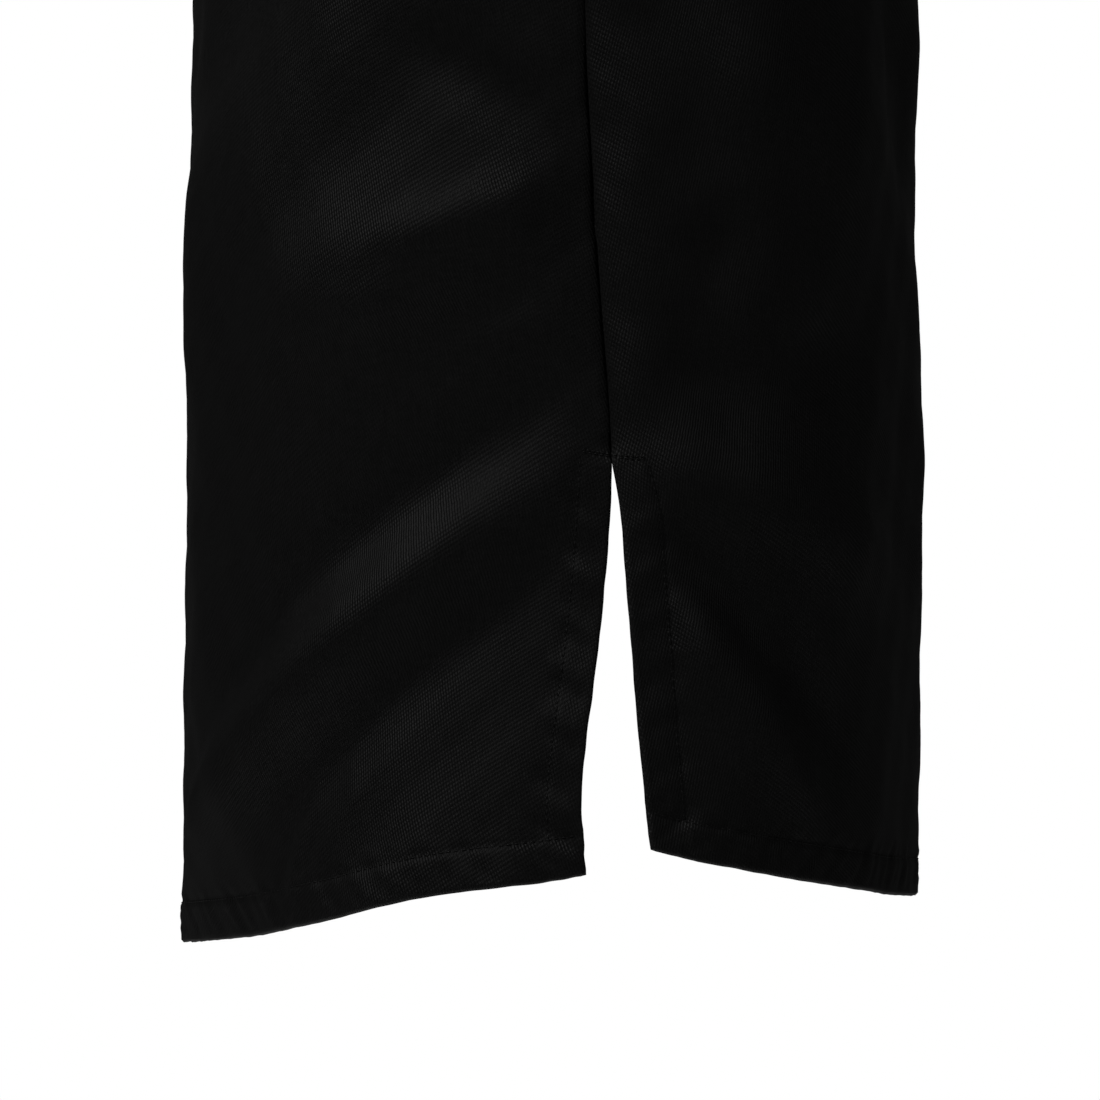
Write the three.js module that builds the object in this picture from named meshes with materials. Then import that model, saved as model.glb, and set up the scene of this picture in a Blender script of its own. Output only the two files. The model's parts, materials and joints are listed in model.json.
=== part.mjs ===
// A short-sleeved, double-breasted chef jacket with a stand collar and a vent at the foot of each
// side seam, hollow and filled out as if it were worn. Millimetres, +Z up. The origin lies midway
// between the two points where collar and shoulder seams meet. -Y is the front and +X is the
// wearer's left. Each cut piece is a closed wall of cloth over a surface worked out from the sizes
// below: u runs round the body from the centre line (0) to a side seam (1), w runs up the cloth.
import * as THREE from "three";

// Cloth, seams and layers
const CLOTH = 1.5;
const HEM_CLOTH = 2.1;
const SEAM_GAP = 0.3;
const LAYER_STEP = 2.8; // how far the under front lies behind the upper one

// Heights, measured up the side of the front from the corner of its hem
const CORNER_Z = -740;
const VENT_FRONT = 132;
const VENT_BACK = 124;
const HEM_DEPTH = 12.5;
const UNDERARM_W = 485;
const TOP_W = 656;
const HEM_FADE = 300; // the shaped hem dies out over this height
const APEX_Z = CORNER_Z + VENT_FRONT;

// Fronts
const OVERLAP = 80;
const OVERLAP_FADE = 27; // beyond the overlap the under layer comes forward over this width
const OVERLAP_TOP = 0.6; // height of the free corner, as a share of the way from underarm to neck
const OVERLAP_SLOPE = 1.6; // how late the free top edge leaves the neckline
const OVERLAP_LEAST = 22; // how far the top of the free edge lies past the centre line
const SIDE_SEAM_BAND = 24; // folds die out over this width beside a seam
const VENT_HOLD = 0.6; // how much of a fold is left at the free edge of a vent
const FAR_VENT_SPREAD = 1.45; // how much wider the vent on the wearer's right hangs open

// Neck and shoulders
const NECK_HALF = 76;
const NECK_Y = 6;
const NECK_FRONT = { y: -78, z: -84, curve: 1.4 };
const NECK_BACK = { y: 64, z: -14, curve: 1.2 };
const SHOULDER = { x: 224, y: 6, z: -52 };
const SHOULDER_ROUND = 105; // how strongly the cloth rounds over towards the shoulder seam
const COLLAR_HEIGHT = 42;
const COLLAR_END = 4; // each collar end stops this far from the centre front
const COLLAR_ROUND = 15;

// Sleeves
const SLEEVE_DROP = THREE.MathUtils.degToRad(28); // lean of the sleeve away from hanging straight
const SLEEVE_END = { x: 300, y: -2, z: -290, half_width: 54, half_depth: 74 };
const SLEEVE_CAP = 11;
const SLEEVE_ROWS = [0, 0.1, 0.22, 0.35, 0.48, 0.61, 0.74, 0.87, 1];

// Buttons, in two rows on the upper front
const BUTTON = { radius: 9.5, thick: 3.4, rim: 1.1, dish: 0.7, sides: 14 };
const BUTTON_FROM_CENTRE = 62;
const BUTTON_HEIGHTS = [300, 373, 446, 519, 592];

// Outline of the body at several heights: half width, depth in front and behind, and how square.
const SECTIONS = [
  { z: -790, half: 222, front: 144, back: 102, square: 2.7 },
  { z: -740, half: 222, front: 144, back: 102, square: 2.7 },
  { z: -650, half: 220, front: 143, back: 101, square: 2.7 },
  { z: -550, half: 219, front: 142, back: 100, square: 2.65 },
  { z: -450, half: 220, front: 140, back: 100, square: 2.6 },
  { z: -350, half: 226, front: 136, back: 104, square: 2.5 },
  { z: -255, half: 234, front: 132, back: 114, square: 2.4 },
];

// Side seam: how far behind the middle it lies at each height.
const SIDE_SEAM = [
  { z: -740, y: 1.5 },
  { z: -608, y: 0 },
  { z: -540, y: -4.6 },
  { z: -460, y: -8.6 },
  { z: -255, y: -8 },
];

// Vent: how far each edge hangs from the line of the seam, by distance below the top of the vent.
const VENT_EDGES = [
  { below: 0, front: 0, back: 0 },
  { below: 18, front: 1.2, back: 2.6 },
  { below: 43, front: 3.6, back: 4.1 },
  { below: 69, front: 6.8, back: 5.9 },
  { below: 94, front: 10, back: 7.6 },
  { below: 107, front: 11.1, back: 8.8 },
  { below: 120, front: 10.6, back: 9.9 },
  { below: 132, front: 9.5, back: 11.1 },
];

// Hem: how far it drops below its corner, by distance round the body from the vent.
const HEM_DROP = [
  { round: 0, front: 0, back: 0 },
  { round: 13, front: 2.2, back: 3.4 },
  { round: 26, front: 3.7, back: 5.9 },
  { round: 45, front: 6.4, back: 9.2 },
  { round: 60, front: 9.4, back: 11.2 },
  { round: 85, front: 14.8, back: 14 },
  { round: 110, front: 18.6, back: 16.1 },
  { round: 135, front: 21.6, back: 17.7 },
  { round: 200, front: 26, back: 20 },
  { round: 330, front: 31, back: 22 },
];

// Centre lines of the upper front and the upper back, by share of the way up from the underarm.
const FRONT_CENTRE = [
  { up: 0, x: 0, y: -132, z: -255 },
  { up: 0.32, x: 0, y: -130, z: -200 },
  { up: 0.64, x: 0, y: -115, z: -145 },
  { up: 1, x: 0, y: NECK_FRONT.y, z: NECK_FRONT.z },
];
const BACK_CENTRE = [
  { up: 0, x: 0, y: 114, z: -255 },
  { up: 0.32, x: 0, y: 121, z: -178 },
  { up: 0.66, x: 0, y: 107, z: -94 },
  { up: 1, x: 0, y: NECK_BACK.y, z: NECK_BACK.z },
];

// Armhole edges of the front and the back, from the underarm to the shoulder point.
const FRONT_ARMHOLE = [
  { up: 0, x: 234, y: -8, z: -255 },
  { up: 0.1, x: 233, y: -30, z: -250 },
  { up: 0.2, x: 227, y: -51, z: -238 },
  { up: 0.42, x: 202, y: -74, z: -194 },
  { up: 0.64, x: 195, y: -70, z: -140 },
  { up: 0.84, x: 207, y: -40, z: -83 },
  { up: 1, x: SHOULDER.x, y: SHOULDER.y, z: SHOULDER.z },
];
const BACK_ARMHOLE = [
  { up: 0, x: 234, y: -8, z: -255 },
  { up: 0.1, x: 234, y: 17, z: -251 },
  { up: 0.2, x: 228, y: 42, z: -240 },
  { up: 0.42, x: 207, y: 74, z: -197 },
  { up: 0.64, x: 202, y: 76, z: -140 },
  { up: 0.84, x: 210, y: 46, z: -82 },
  { up: 1, x: SHOULDER.x, y: SHOULDER.y, z: SHOULDER.z },
];

// Largest folds. Each is a soft ridge (or, with a negative height, a trough) along a line from one
// place to another. "from" and "to" give the distance round from the side seam on one side of the
// wearer, 1 for the left and -1 for the right, and the height up the cloth. "wide" is its half width.
const FRONT_FOLDS = [
  { side: 1, from: [12, 131], to: [142, 50], high: 6.5, wide: 15 },
  { side: 1, from: [14, 102], to: [112, 30], high: -4.5, wide: 14 },
  { side: 1, from: [14, 154], to: [150, 120], high: -4, wide: 17 },
  { side: 1, from: [20, 222], to: [120, 180], high: 4, wide: 22 },
  { side: 1, from: [60, 292], to: [170, 215], high: 4.5, wide: 26 },
  { side: -1, from: [25, 122], to: [145, 40], high: 6, wide: 18 },
  { side: -1, from: [32, 84], to: [120, 14], high: -4, wide: 16 },
  { side: -1, from: [32, 226], to: [155, 150], high: 4.5, wide: 26 },
  { side: 1, from: [48, 476], to: [176, 360], high: 6, wide: 19 },
  { side: -1, from: [48, 470], to: [168, 352], high: 6, wide: 19 },
  { side: 1, from: [58, 400], to: [156, 285], high: -4.5, wide: 20 },
  { side: -1, from: [56, 396], to: [146, 270], high: -4, wide: 22 },
  { side: 1, from: [178, 330], to: [184, 30], high: 4, wide: 26 },
  { side: -1, from: [174, 300], to: [180, 10], high: 3.5, wide: 26 },
];
const BACK_FOLDS = [
  { side: 1, from: [8, 150], to: [118, 178], high: -4, wide: 16 },
  { side: 1, from: [18, 134], to: [125, 108], high: 4.5, wide: 17 },
  { side: 1, from: [8, 116], to: [92, 46], high: -4.5, wide: 13 },
  { side: 1, from: [14, 92], to: [62, 22], high: 5, wide: 14 },
  { side: 1, from: [30, 260], to: [140, 232], high: 4, wide: 26 },
  { side: -1, from: [30, 118], to: [120, 30], high: 5, wide: 18 },
  { side: -1, from: [28, 214], to: [160, 180], high: 4, wide: 24 },
  { side: 1, from: [46, 470], to: [166, 330], high: 6.5, wide: 20 },
  { side: -1, from: [46, 474], to: [158, 322], high: 6.5, wide: 20 },
  { side: 1, from: [90, 410], to: [206, 215], high: -4.5, wide: 24 },
  { side: -1, from: [94, 405], to: [196, 225], high: -4.5, wide: 24 },
  { side: 1, from: [210, 330], to: [194, 40], high: 4.5, wide: 28 },
  { side: -1, from: [214, 345], to: [186, 30], high: 4.5, wide: 28 },
  { side: 1, from: [122, 600], to: [212, 545], high: 3.5, wide: 20 },
  { side: -1, from: [122, 600], to: [208, 540], high: 3.5, wide: 20 },
];
const HALF_WIDTH = { front: 298, back: 272 }; // from a side seam round to the centre line

// Grids
const LOWER_ROWS = [
  0, 12.5, 34, 56, 80, 106, 132, 158, 184, 210, 236, 262, 289, 317, 345, 373, 401, 429, 457, 485,
];
const UPPER_ROWS = 10;
const OVERLAP_CELLS = 4;
const NECK_SIDE_CELLS = 3; // between the overlap's width and the end of the neckline
const SHOULDER_CELLS = 8;
const BACK_NECK_CELLS = 6;
const COLLAR_ROWS = 3;

const smooth = (low, high, x) => THREE.MathUtils.smoothstep(x, low, high);

// Value of one column of a table at a place between its rows, on a smooth curve through them.
function along(table, key, column, at) {
  const last = table.length - 1;
  const up = table[last][key] > table[0][key] ? 1 : -1;
  const clamped = up * Math.min(Math.max(up * at, up * table[0][key]), up * table[last][key]);
  let i = 0;
  while (i < last - 1 && up * clamped > up * table[i + 1][key]) i += 1;
  const slope = (k) => {
    const low = table[Math.max(k - 1, 0)];
    const high = table[Math.min(k + 1, last)];
    return (high[column] - low[column]) / (high[key] - low[key]);
  };
  const step = table[i + 1][key] - table[i][key];
  const t = (clamped - table[i][key]) / step;
  const [p0, p1, m0, m1] = [
    table[i][column],
    table[i + 1][column],
    slope(i) * step,
    slope(i + 1) * step,
  ];
  return (
    p0 * (1 + 2 * t) * (1 - t) ** 2 +
    m0 * t * (1 - t) ** 2 +
    p1 * t * t * (3 - 2 * t) +
    m1 * t * t * (t - 1)
  );
}

const pointAlong = (table, up) =>
  new THREE.Vector3(...["x", "y", "z"].map((axis) => along(table, "up", axis, up)));

// Half outline of the body at height z, from centre front to centre back, with its running length.
const OUTLINE_STEPS = 240;
const outlines = new Map();
function outline(z) {
  const key = z.toFixed(3);
  if (outlines.has(key)) return outlines.get(key);
  const [half, front, back, square] = ["half", "front", "back", "square"].map((column) =>
    along(SECTIONS, "z", column, z),
  );
  const points = [];
  for (let i = 0; i <= OUTLINE_STEPS; i += 1) {
    const turn = (Math.PI * i) / OUTLINE_STEPS;
    const c = Math.cos(turn);
    const depth = c > 0 ? -front : back;
    const run = points.length ? points[i - 1] : null;
    const x = half * Math.abs(Math.sin(turn)) ** (2 / square);
    const y = depth * Math.abs(c) ** (2 / square);
    points.push({ x, y, run: run ? run.run + Math.hypot(x - run.x, y - run.y) : 0 });
  }
  outlines.set(key, points);
  return points;
}

function between(points, key, at) {
  let [low, high] = [0, points.length - 1];
  while (high - low > 1) {
    const middle = (low + high) >> 1;
    if (points[middle][key] <= at) low = middle;
    else high = middle;
  }
  const t = (at - points[low][key]) / (points[high][key] - points[low][key]);
  const mix = (column) => points[low][column] + t * (points[high][column] - points[low][column]);
  return { x: mix("x"), y: mix("y"), run: mix("run") };
}

const ventSpread = (side) => (side > 0 ? 1 : FAR_VENT_SPREAD);

// A place on the lower cloth. part is "front" or "back", u goes from its centre line to the side
// seam, and side is 1 for the wearer's left and -1 for the right.
function lowerPoint(part, u, w, side) {
  const vent = part === "front" ? VENT_FRONT : VENT_BACK;
  const z = w < VENT_FRONT ? APEX_Z - ((VENT_FRONT - w) * vent) / VENT_FRONT : CORNER_Z + w;
  const hang = along(VENT_EDGES, "below", part, VENT_FRONT - w) * ventSpread(side);
  const seam = along(SIDE_SEAM, "z", "y", z) + (part === "front" ? -hang : hang);
  const points = outline(z);
  const end = between(points, "y", seam).run;
  const total = points[OUTLINE_STEPS].run;
  const width = part === "front" ? end : total - end;
  const place = between(points, "run", part === "front" ? u * width : total - u * width);
  const drop = along(HEM_DROP, "round", part, (1 - u) * width) * (1 - smooth(0, HEM_FADE, w));
  return new THREE.Vector3(side * place.x, place.y, z - drop);
}

// Columns of half a panel, as shares of the way from its centre line to its side seam. The front's
// include the width of the overlap, and both have one where neckline and shoulder seam meet.
const sideCells = NECK_SIDE_CELLS + SHOULDER_CELLS;
const backHalfCells = BACK_NECK_CELLS + SHOULDER_CELLS;
function overlapShare(w) {
  const z = CORNER_Z + Math.min(w, UNDERARM_W);
  return OVERLAP / between(outline(z), "y", along(SIDE_SEAM, "z", "y", z)).run;
}
const topOverlap = overlapShare(UNDERARM_W); // the same at every height from the underarm up
const neckShare = {
  front: topOverlap + ((1 - topOverlap) * NECK_SIDE_CELLS) / sideCells,
  back: BACK_NECK_CELLS / backHalfCells,
};

// Top edge of a panel: the neckline, then the shoulder seam.
function topEdge(part, u) {
  const low = part === "front" ? NECK_FRONT : NECK_BACK;
  if (u <= neckShare[part]) {
    const turn = (Math.PI / 2) * (u / neckShare[part]);
    const c = Math.cos(turn);
    const y = NECK_Y + (low.y - NECK_Y) * c;
    return new THREE.Vector3(NECK_HALF * Math.sin(turn), y, low.z * Math.max(c, 0) ** low.curve);
  }
  const t = (u - neckShare[part]) / (1 - neckShare[part]);
  const rise = 3 * Math.sin(Math.PI * t);
  return new THREE.Vector3(
    NECK_HALF + (SHOULDER.x - NECK_HALF) * t,
    NECK_Y + (SHOULDER.y - NECK_Y) * t,
    SHOULDER.z * t + rise,
  );
}

// The same edge with its corner rounded off, which the cloth below it follows.
const SOFT_SAMPLES = [-1, -0.67, -0.33, 0, 0.33, 0.67, 1];
const SOFT_REACH = 0.2;
function softTopEdge(part, u) {
  const reach = Math.min(SOFT_REACH, u, 1 - u);
  const sum = new THREE.Vector3();
  for (const s of SOFT_SAMPLES) sum.add(topEdge(part, u + s * reach));
  return sum.divideScalar(SOFT_SAMPLES.length);
}

// A place on the cloth above the underarm: a patch between its four edges.
const CORNER_HOLD = 6; // how quickly the cloth leaves the corner of the neckline behind
function upperPoint(part, u, up) {
  const centre = part === "front" ? FRONT_CENTRE : BACK_CENTRE;
  const armhole = part === "front" ? FRONT_ARMHOLE : BACK_ARMHOLE;
  const bottom = lowerPoint(part, u, UNDERARM_W, 1);
  const top = softTopEdge(part, u).lerp(topEdge(part, u), up ** CORNER_HOLD);
  const [inner, outer] = [pointAlong(centre, up), pointAlong(armhole, up)];
  const [a, b] = [pointAlong(centre, 0), pointAlong(armhole, 0)];
  const [c, d] = [pointAlong(centre, 1), pointAlong(armhole, 1)];
  const place = bottom.multiplyScalar(1 - up).addScaledVector(top, up);
  place.addScaledVector(inner, 1 - u).addScaledVector(outer, u);
  place.addScaledVector(a, -(1 - u) * (1 - up)).addScaledVector(b, -u * (1 - up));
  place.addScaledVector(c, -(1 - u) * up).addScaledVector(d, -u * up);
  place.z += SHOULDER_ROUND * Math.sin(Math.PI * u) * up ** 3 * (1 - up);
  return place;
}

// u is signed here: positive towards the wearer's left.
function basePoint(part, u, w) {
  const side = u < 0 ? -1 : 1;
  const share = Math.min(Math.abs(u), 1);
  if (w <= UNDERARM_W) return lowerPoint(part, share, w, side);
  const place = upperPoint(part, share, Math.min((w - UNDERARM_W) / (TOP_W - UNDERARM_W), 1));
  place.x *= side;
  return place;
}

// Outward direction of the cloth at a place, across two short steps along it.
const NUDGE = 0.004;
function baseNormal(part, u, w) {
  const high = Math.min(w + 2, TOP_W);
  const across = basePoint(part, Math.min(u + NUDGE, 1), w);
  across.sub(basePoint(part, Math.max(u - NUDGE, -1), w));
  const up = basePoint(part, u, high).sub(basePoint(part, u, Math.max(high - 4, 0)));
  const normal = across.cross(up).normalize();
  return part === "front" ? normal : normal.negate();
}

// Height of the folds at a place: each dies out at its ends, and all die out at the seams.
function foldHeight(part, u, w) {
  let height = 0;
  for (const fold of part === "front" ? FRONT_FOLDS : BACK_FOLDS) {
    const round = (1 - fold.side * u) * HALF_WIDTH[part];
    const [dx, dy] = [fold.to[0] - fold.from[0], fold.to[1] - fold.from[1]];
    const length = Math.hypot(dx, dy);
    const t = ((round - fold.from[0]) * dx + (w - fold.from[1]) * dy) / (length * length);
    const off = ((round - fold.from[0]) * dy - (w - fold.from[1]) * dx) / length;
    const ends = smooth(-0.25, 0.3, t) * (1 - smooth(0.65, 1.3, t));
    height += fold.high * Math.exp(-((off / fold.wide) ** 2)) * ends;
  }
  const fromSeam = (1 - Math.abs(u)) * HALF_WIDTH[part];
  const atSeam = smooth(0, SIDE_SEAM_BAND, fromSeam);
  const free = VENT_HOLD * smooth(0, VENT_FRONT / 2, VENT_FRONT - w);
  return height * Math.max(atSeam, free) * (1 - smooth(TOP_W - 60, TOP_W - 20, w));
}

// A place on the outer face of a panel. under is true for the front that lies beneath.
function clothPoint(part, u, w, under) {
  const place = basePoint(part, u, w);
  const inOverlap = 1 - smooth(OVERLAP + 4, OVERLAP + OVERLAP_FADE, Math.abs(place.x));
  const step = under ? -LAYER_STEP * inOverlap * (1 - smooth(-75, -25, place.z)) : 0;
  return place.addScaledVector(baseNormal(part, u, w), foldHeight(part, u, w) + step);
}

// Outward normals of a grid of points, rows by columns. turned is -1 for a grid laid out backwards.
function gridNormals(grid, wraps, turned) {
  const rows = grid.length;
  const columns = grid[0].length;
  return grid.map((row, r) =>
    row.map((_, c) => {
      const next = wraps ? (c + 1) % columns : Math.min(c + 1, columns - 1);
      const before = wraps ? (c - 1 + columns) % columns : Math.max(c - 1, 0);
      const across = row[next].clone().sub(row[before]);
      const up = grid[Math.min(r + 1, rows - 1)][c].clone().sub(grid[Math.max(r - 1, 0)][c]);
      return across.cross(up).normalize().multiplyScalar(turned);
    }),
  );
}

// Closed wall between an outer and an inner grid. A tube's columns wrap round.
function wallGeometry(outer, inner, wraps) {
  const [rows, columns] = [outer.length, outer[0].length];
  const at = (layer, r, c) => layer * rows * columns + r * columns + (c % columns);
  const index = [];
  const quad = (a, b, c, d) => index.push(a, b, c, a, c, d);
  const lastColumn = wraps ? columns : columns - 1;
  for (let r = 0; r < rows - 1; r += 1)
    for (let c = 0; c < lastColumn; c += 1) {
      quad(at(0, r, c), at(0, r, c + 1), at(0, r + 1, c + 1), at(0, r + 1, c));
      quad(at(1, r, c), at(1, r + 1, c), at(1, r + 1, c + 1), at(1, r, c + 1));
    }
  for (let c = 0; c < lastColumn; c += 1) {
    quad(at(1, 0, c), at(1, 0, c + 1), at(0, 0, c + 1), at(0, 0, c));
    const top = rows - 1;
    quad(at(0, top, c), at(0, top, c + 1), at(1, top, c + 1), at(1, top, c));
  }
  for (let r = 0; r < rows - 1 && !wraps; r += 1) {
    quad(at(1, r, 0), at(0, r, 0), at(0, r + 1, 0), at(1, r + 1, 0));
    const end = columns - 1;
    quad(at(0, r, end), at(1, r, end), at(1, r + 1, end), at(0, r + 1, end));
  }
  const points = [...outer.flat(), ...inner.flat()];
  let volume = 0;
  for (let i = 0; i < index.length; i += 3) {
    const [a, b, c] = [points[index[i]], points[index[i + 1]], points[index[i + 2]]];
    volume += a.dot(b.clone().cross(c));
  }
  if (volume < 0) index.reverse();
  const geometry = new THREE.BufferGeometry().setFromPoints(points);
  geometry.setIndex(index);
  geometry.computeVertexNormals();
  return geometry;
}

// Panel heights of every row: the lower rows, then equal steps up to the neck and shoulder.
const upperRows = Array.from(
  { length: UPPER_ROWS },
  (_, k) => UNDERARM_W + ((TOP_W - UNDERARM_W) * (k + 1)) / UPPER_ROWS,
);
const panelRows = [...LOWER_ROWS, ...upperRows];

// Share at which the cloth at a height lies a given distance from the middle of the front.
function shareAt(x, w) {
  let share = overlapShare(w);
  for (let k = 0; k < 6; k += 1) share *= x / basePoint("front", share, w).x;
  return share;
}

// A front: from its free edge across the centre to its side seam. side is 1 for the wearer's left.
function frontPanel(side) {
  return panelRows.map((w) => {
    const edge = overlapShare(w);
    const up = Math.max(0, (w - UNDERARM_W) / (TOP_W - UNDERARM_W));
    const past = Math.min(1, (1 - up) / (1 - OVERLAP_TOP)) ** (1 / OVERLAP_SLOPE);
    const flap = shareAt(Math.max(OVERLAP * past, OVERLAP_LEAST), w);
    const shares = [];
    for (let k = -OVERLAP_CELLS; k < 0; k += 1) shares.push((flap * k) / OVERLAP_CELLS);
    for (let k = 0; k <= OVERLAP_CELLS; k += 1) shares.push((edge * k) / OVERLAP_CELLS);
    for (let k = 1; k <= sideCells; k += 1) shares.push(edge + ((1 - edge) * k) / sideCells);
    return shares.map((share) => clothPoint("front", side * share, w, side < 0));
  });
}

const backPanel = () =>
  panelRows.map((w) =>
    Array.from({ length: 2 * backHalfCells + 1 }, (_, k) =>
      clothPoint("back", 1 - k / backHalfCells, w, false),
    ),
  );

// A sleeve: rings from the armhole, whose points are the panels' own, to the sleeve hem.
function sleeveTube(side) {
  const ups = Array.from({ length: UPPER_ROWS + 1 }, (_, k) => k / UPPER_ROWS);
  const front = ups.map((up) => pointAlong(FRONT_ARMHOLE, up));
  const back = ups.map((up) => pointAlong(BACK_ARMHOLE, up)).reverse();
  const armhole = [...front, ...back.slice(1, -1)];
  const out = new THREE.Vector3(Math.cos(SLEEVE_DROP), 0, Math.sin(SLEEVE_DROP));
  const middle = new THREE.Vector3(SLEEVE_END.x, SLEEVE_END.y, SLEEVE_END.z);
  return SLEEVE_ROWS.map((v) =>
    armhole.map((start, k) => {
      const turn = (2 * Math.PI * k) / armhole.length;
      const end = middle.clone().addScaledVector(out, -SLEEVE_END.half_width * Math.cos(turn));
      end.y -= SLEEVE_END.half_depth * Math.sin(turn);
      const place = start.clone().lerp(end, v);
      const topness = (1 - Math.cos(turn)) / 2;
      const swell = SLEEVE_CAP * Math.sin(Math.PI * v) ** 0.8;
      place.addScaledVector(out, swell * topness + 0.7 * swell * (1 - topness) ** 2);
      place.y -= 0.5 * swell * Math.sin(turn);
      const crease = 2.6 * Math.sin(2 * turn + 9 * v) * Math.sin(Math.PI * v) ** 2;
      place.addScaledVector(out, crease);
      return new THREE.Vector3(side * place.x, place.y, place.z);
    }),
  );
}

// The stand collar, from the centre front round the wearer's left, the back and the right. Its foot
// follows the necklines of the three panels, column by column.
function collarStrip() {
  const overlapTurn = (Math.PI / 2) * (topOverlap / neckShare.front);
  const half = [];
  for (let k = 0; k <= OVERLAP_CELLS; k += 1) half.push((overlapTurn * k) / OVERLAP_CELLS);
  for (let k = 1; k <= NECK_SIDE_CELLS; k += 1)
    half.push(overlapTurn + ((Math.PI / 2 - overlapTurn) * k) / NECK_SIDE_CELLS);
  for (let k = 1; k <= BACK_NECK_CELLS; k += 1)
    half.push(Math.PI / 2 + (Math.PI / 2) * (k / BACK_NECK_CELLS));
  const otherHalf = half.slice(0, -1).map((turn) => 2 * Math.PI - turn);
  const turns = [...half, ...otherHalf.reverse()];
  const foot = turns.map((turn, k) => {
    const side = k < half.length ? 1 : -1;
    const away = Math.min(turn, 2 * Math.PI - turn);
    const part = away <= Math.PI / 2 ? "front" : "back";
    const share = part === "front" ? away : Math.PI - away;
    const u = (side * share * neckShare[part]) / (Math.PI / 2);
    return clothPoint(part, u, TOP_W, part === "front" && side < 0);
  });
  const last = foot.length - 1;
  foot[0].lerp(foot[1], COLLAR_END / foot[0].distanceTo(foot[1]));
  foot[last].lerp(foot[last - 1], COLLAR_END / foot[last].distanceTo(foot[last - 1]));
  return Array.from({ length: COLLAR_ROWS + 1 }, (_, r) =>
    foot.map((place, k) => {
      const frontness = (1 + Math.cos(turns[k])) / 2;
      const lean = new THREE.Vector3(-0.1 * Math.sin(turns[k]), -0.26 + 0.2 * frontness, 1);
      lean.normalize();
      const fromEnd = Math.min(place.distanceTo(foot[0]), place.distanceTo(foot[last]));
      const short = Math.max(0, COLLAR_ROUND - fromEnd);
      const cut = COLLAR_ROUND - Math.sqrt(Math.max(0, COLLAR_ROUND ** 2 - short ** 2));
      const lift = SEAM_GAP + ((COLLAR_HEIGHT - cut) * r) / COLLAR_ROWS;
      return place.clone().addScaledVector(lean, lift);
    }),
  );
}

// Every cut piece: its grid, which way round it is, how it is closed, and its sewn and hemmed edges.
const cutPieces = {
  front_left: { grid: frontPanel(1), turned: 1, sewn: ["end", "top"], hem: "front" },
  front_right: { grid: frontPanel(-1), turned: -1, sewn: ["end", "top"], hem: "front" },
  back: { grid: backPanel(), turned: 1, sewn: ["start", "end", "top"], hem: "back" },
  sleeve_left: { grid: sleeveTube(1), turned: -1, sewn: ["bottom"], wraps: true },
  sleeve_right: { grid: sleeveTube(-1), turned: 1, sewn: ["bottom"], wraps: true },
  collar: { grid: collarStrip(), turned: 1, sewn: [] },
};

const onEdge = (piece, edge, r, c) =>
  ({
    start: c === 0,
    end: c === piece.grid[0].length - 1,
    top: r === piece.grid.length - 1,
    bottom: r === 0,
  })[edge];

for (const piece of Object.values(cutPieces)) {
  piece.normals = gridNormals(piece.grid, piece.wraps, piece.turned);
  piece.border = [];
  const [lastRow, lastColumn] = [piece.grid.length - 1, piece.grid[0].length - 1];
  piece.grid.forEach((row, r) =>
    row.forEach((point, c) => {
      if (!["start", "end", "top", "bottom"].some((edge) => onEdge(piece, edge, r, c))) return;
      const innerRow = Math.min(Math.max(r, 1), lastRow - 1);
      const innerColumn = piece.wraps ? c : Math.min(Math.max(c, 1), lastColumn - 1);
      const within = piece.grid[innerRow][innerColumn].clone().sub(point).normalize();
      piece.border.push({ point, within, normal: piece.normals[r][c], r, c });
    }),
  );
}

// Where pieces meet on a ridge, their walls share one direction, so that they can't cross.
const MEET = 3.2;
const shared = new Map();
for (const [name, piece] of Object.entries(cutPieces))
  for (const own of piece.border) {
    const sum = own.normal.clone();
    own.push = new THREE.Vector3();
    for (const [other, met] of Object.entries(cutPieces)) {
      if (other === name || (name.startsWith("front") && other.startsWith("front"))) continue;
      let nearest = null;
      for (const theirs of met.border) {
        const gap = theirs.point.distanceTo(own.point);
        if (gap < MEET && (!nearest || gap < nearest.gap)) nearest = { gap, ...theirs };
      }
      if (!nearest) continue;
      const facing = nearest.normal.dot(own.normal);
      const ridge = nearest.within.dot(own.normal) < 0;
      sum.addScaledVector(nearest.normal, ridge ? 1 : smooth(0, 0.35, facing));
      if (piece.wraps && !ridge) own.push.addScaledVector(nearest.normal, 1 - smooth(-0.3, 0.5, facing));
    }
    shared.set(own, sum.normalize());
  }
for (const piece of Object.values(cutPieces))
  for (const own of piece.border) piece.normals[own.r][own.c] = shared.get(own);

// Where a sleeve folds back beside the body, its seam edge stands off the body's face.
for (const piece of Object.values(cutPieces))
  for (const own of piece.border) own.point.addScaledVector(own.push.clampLength(0, 1), SEAM_GAP);

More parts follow.
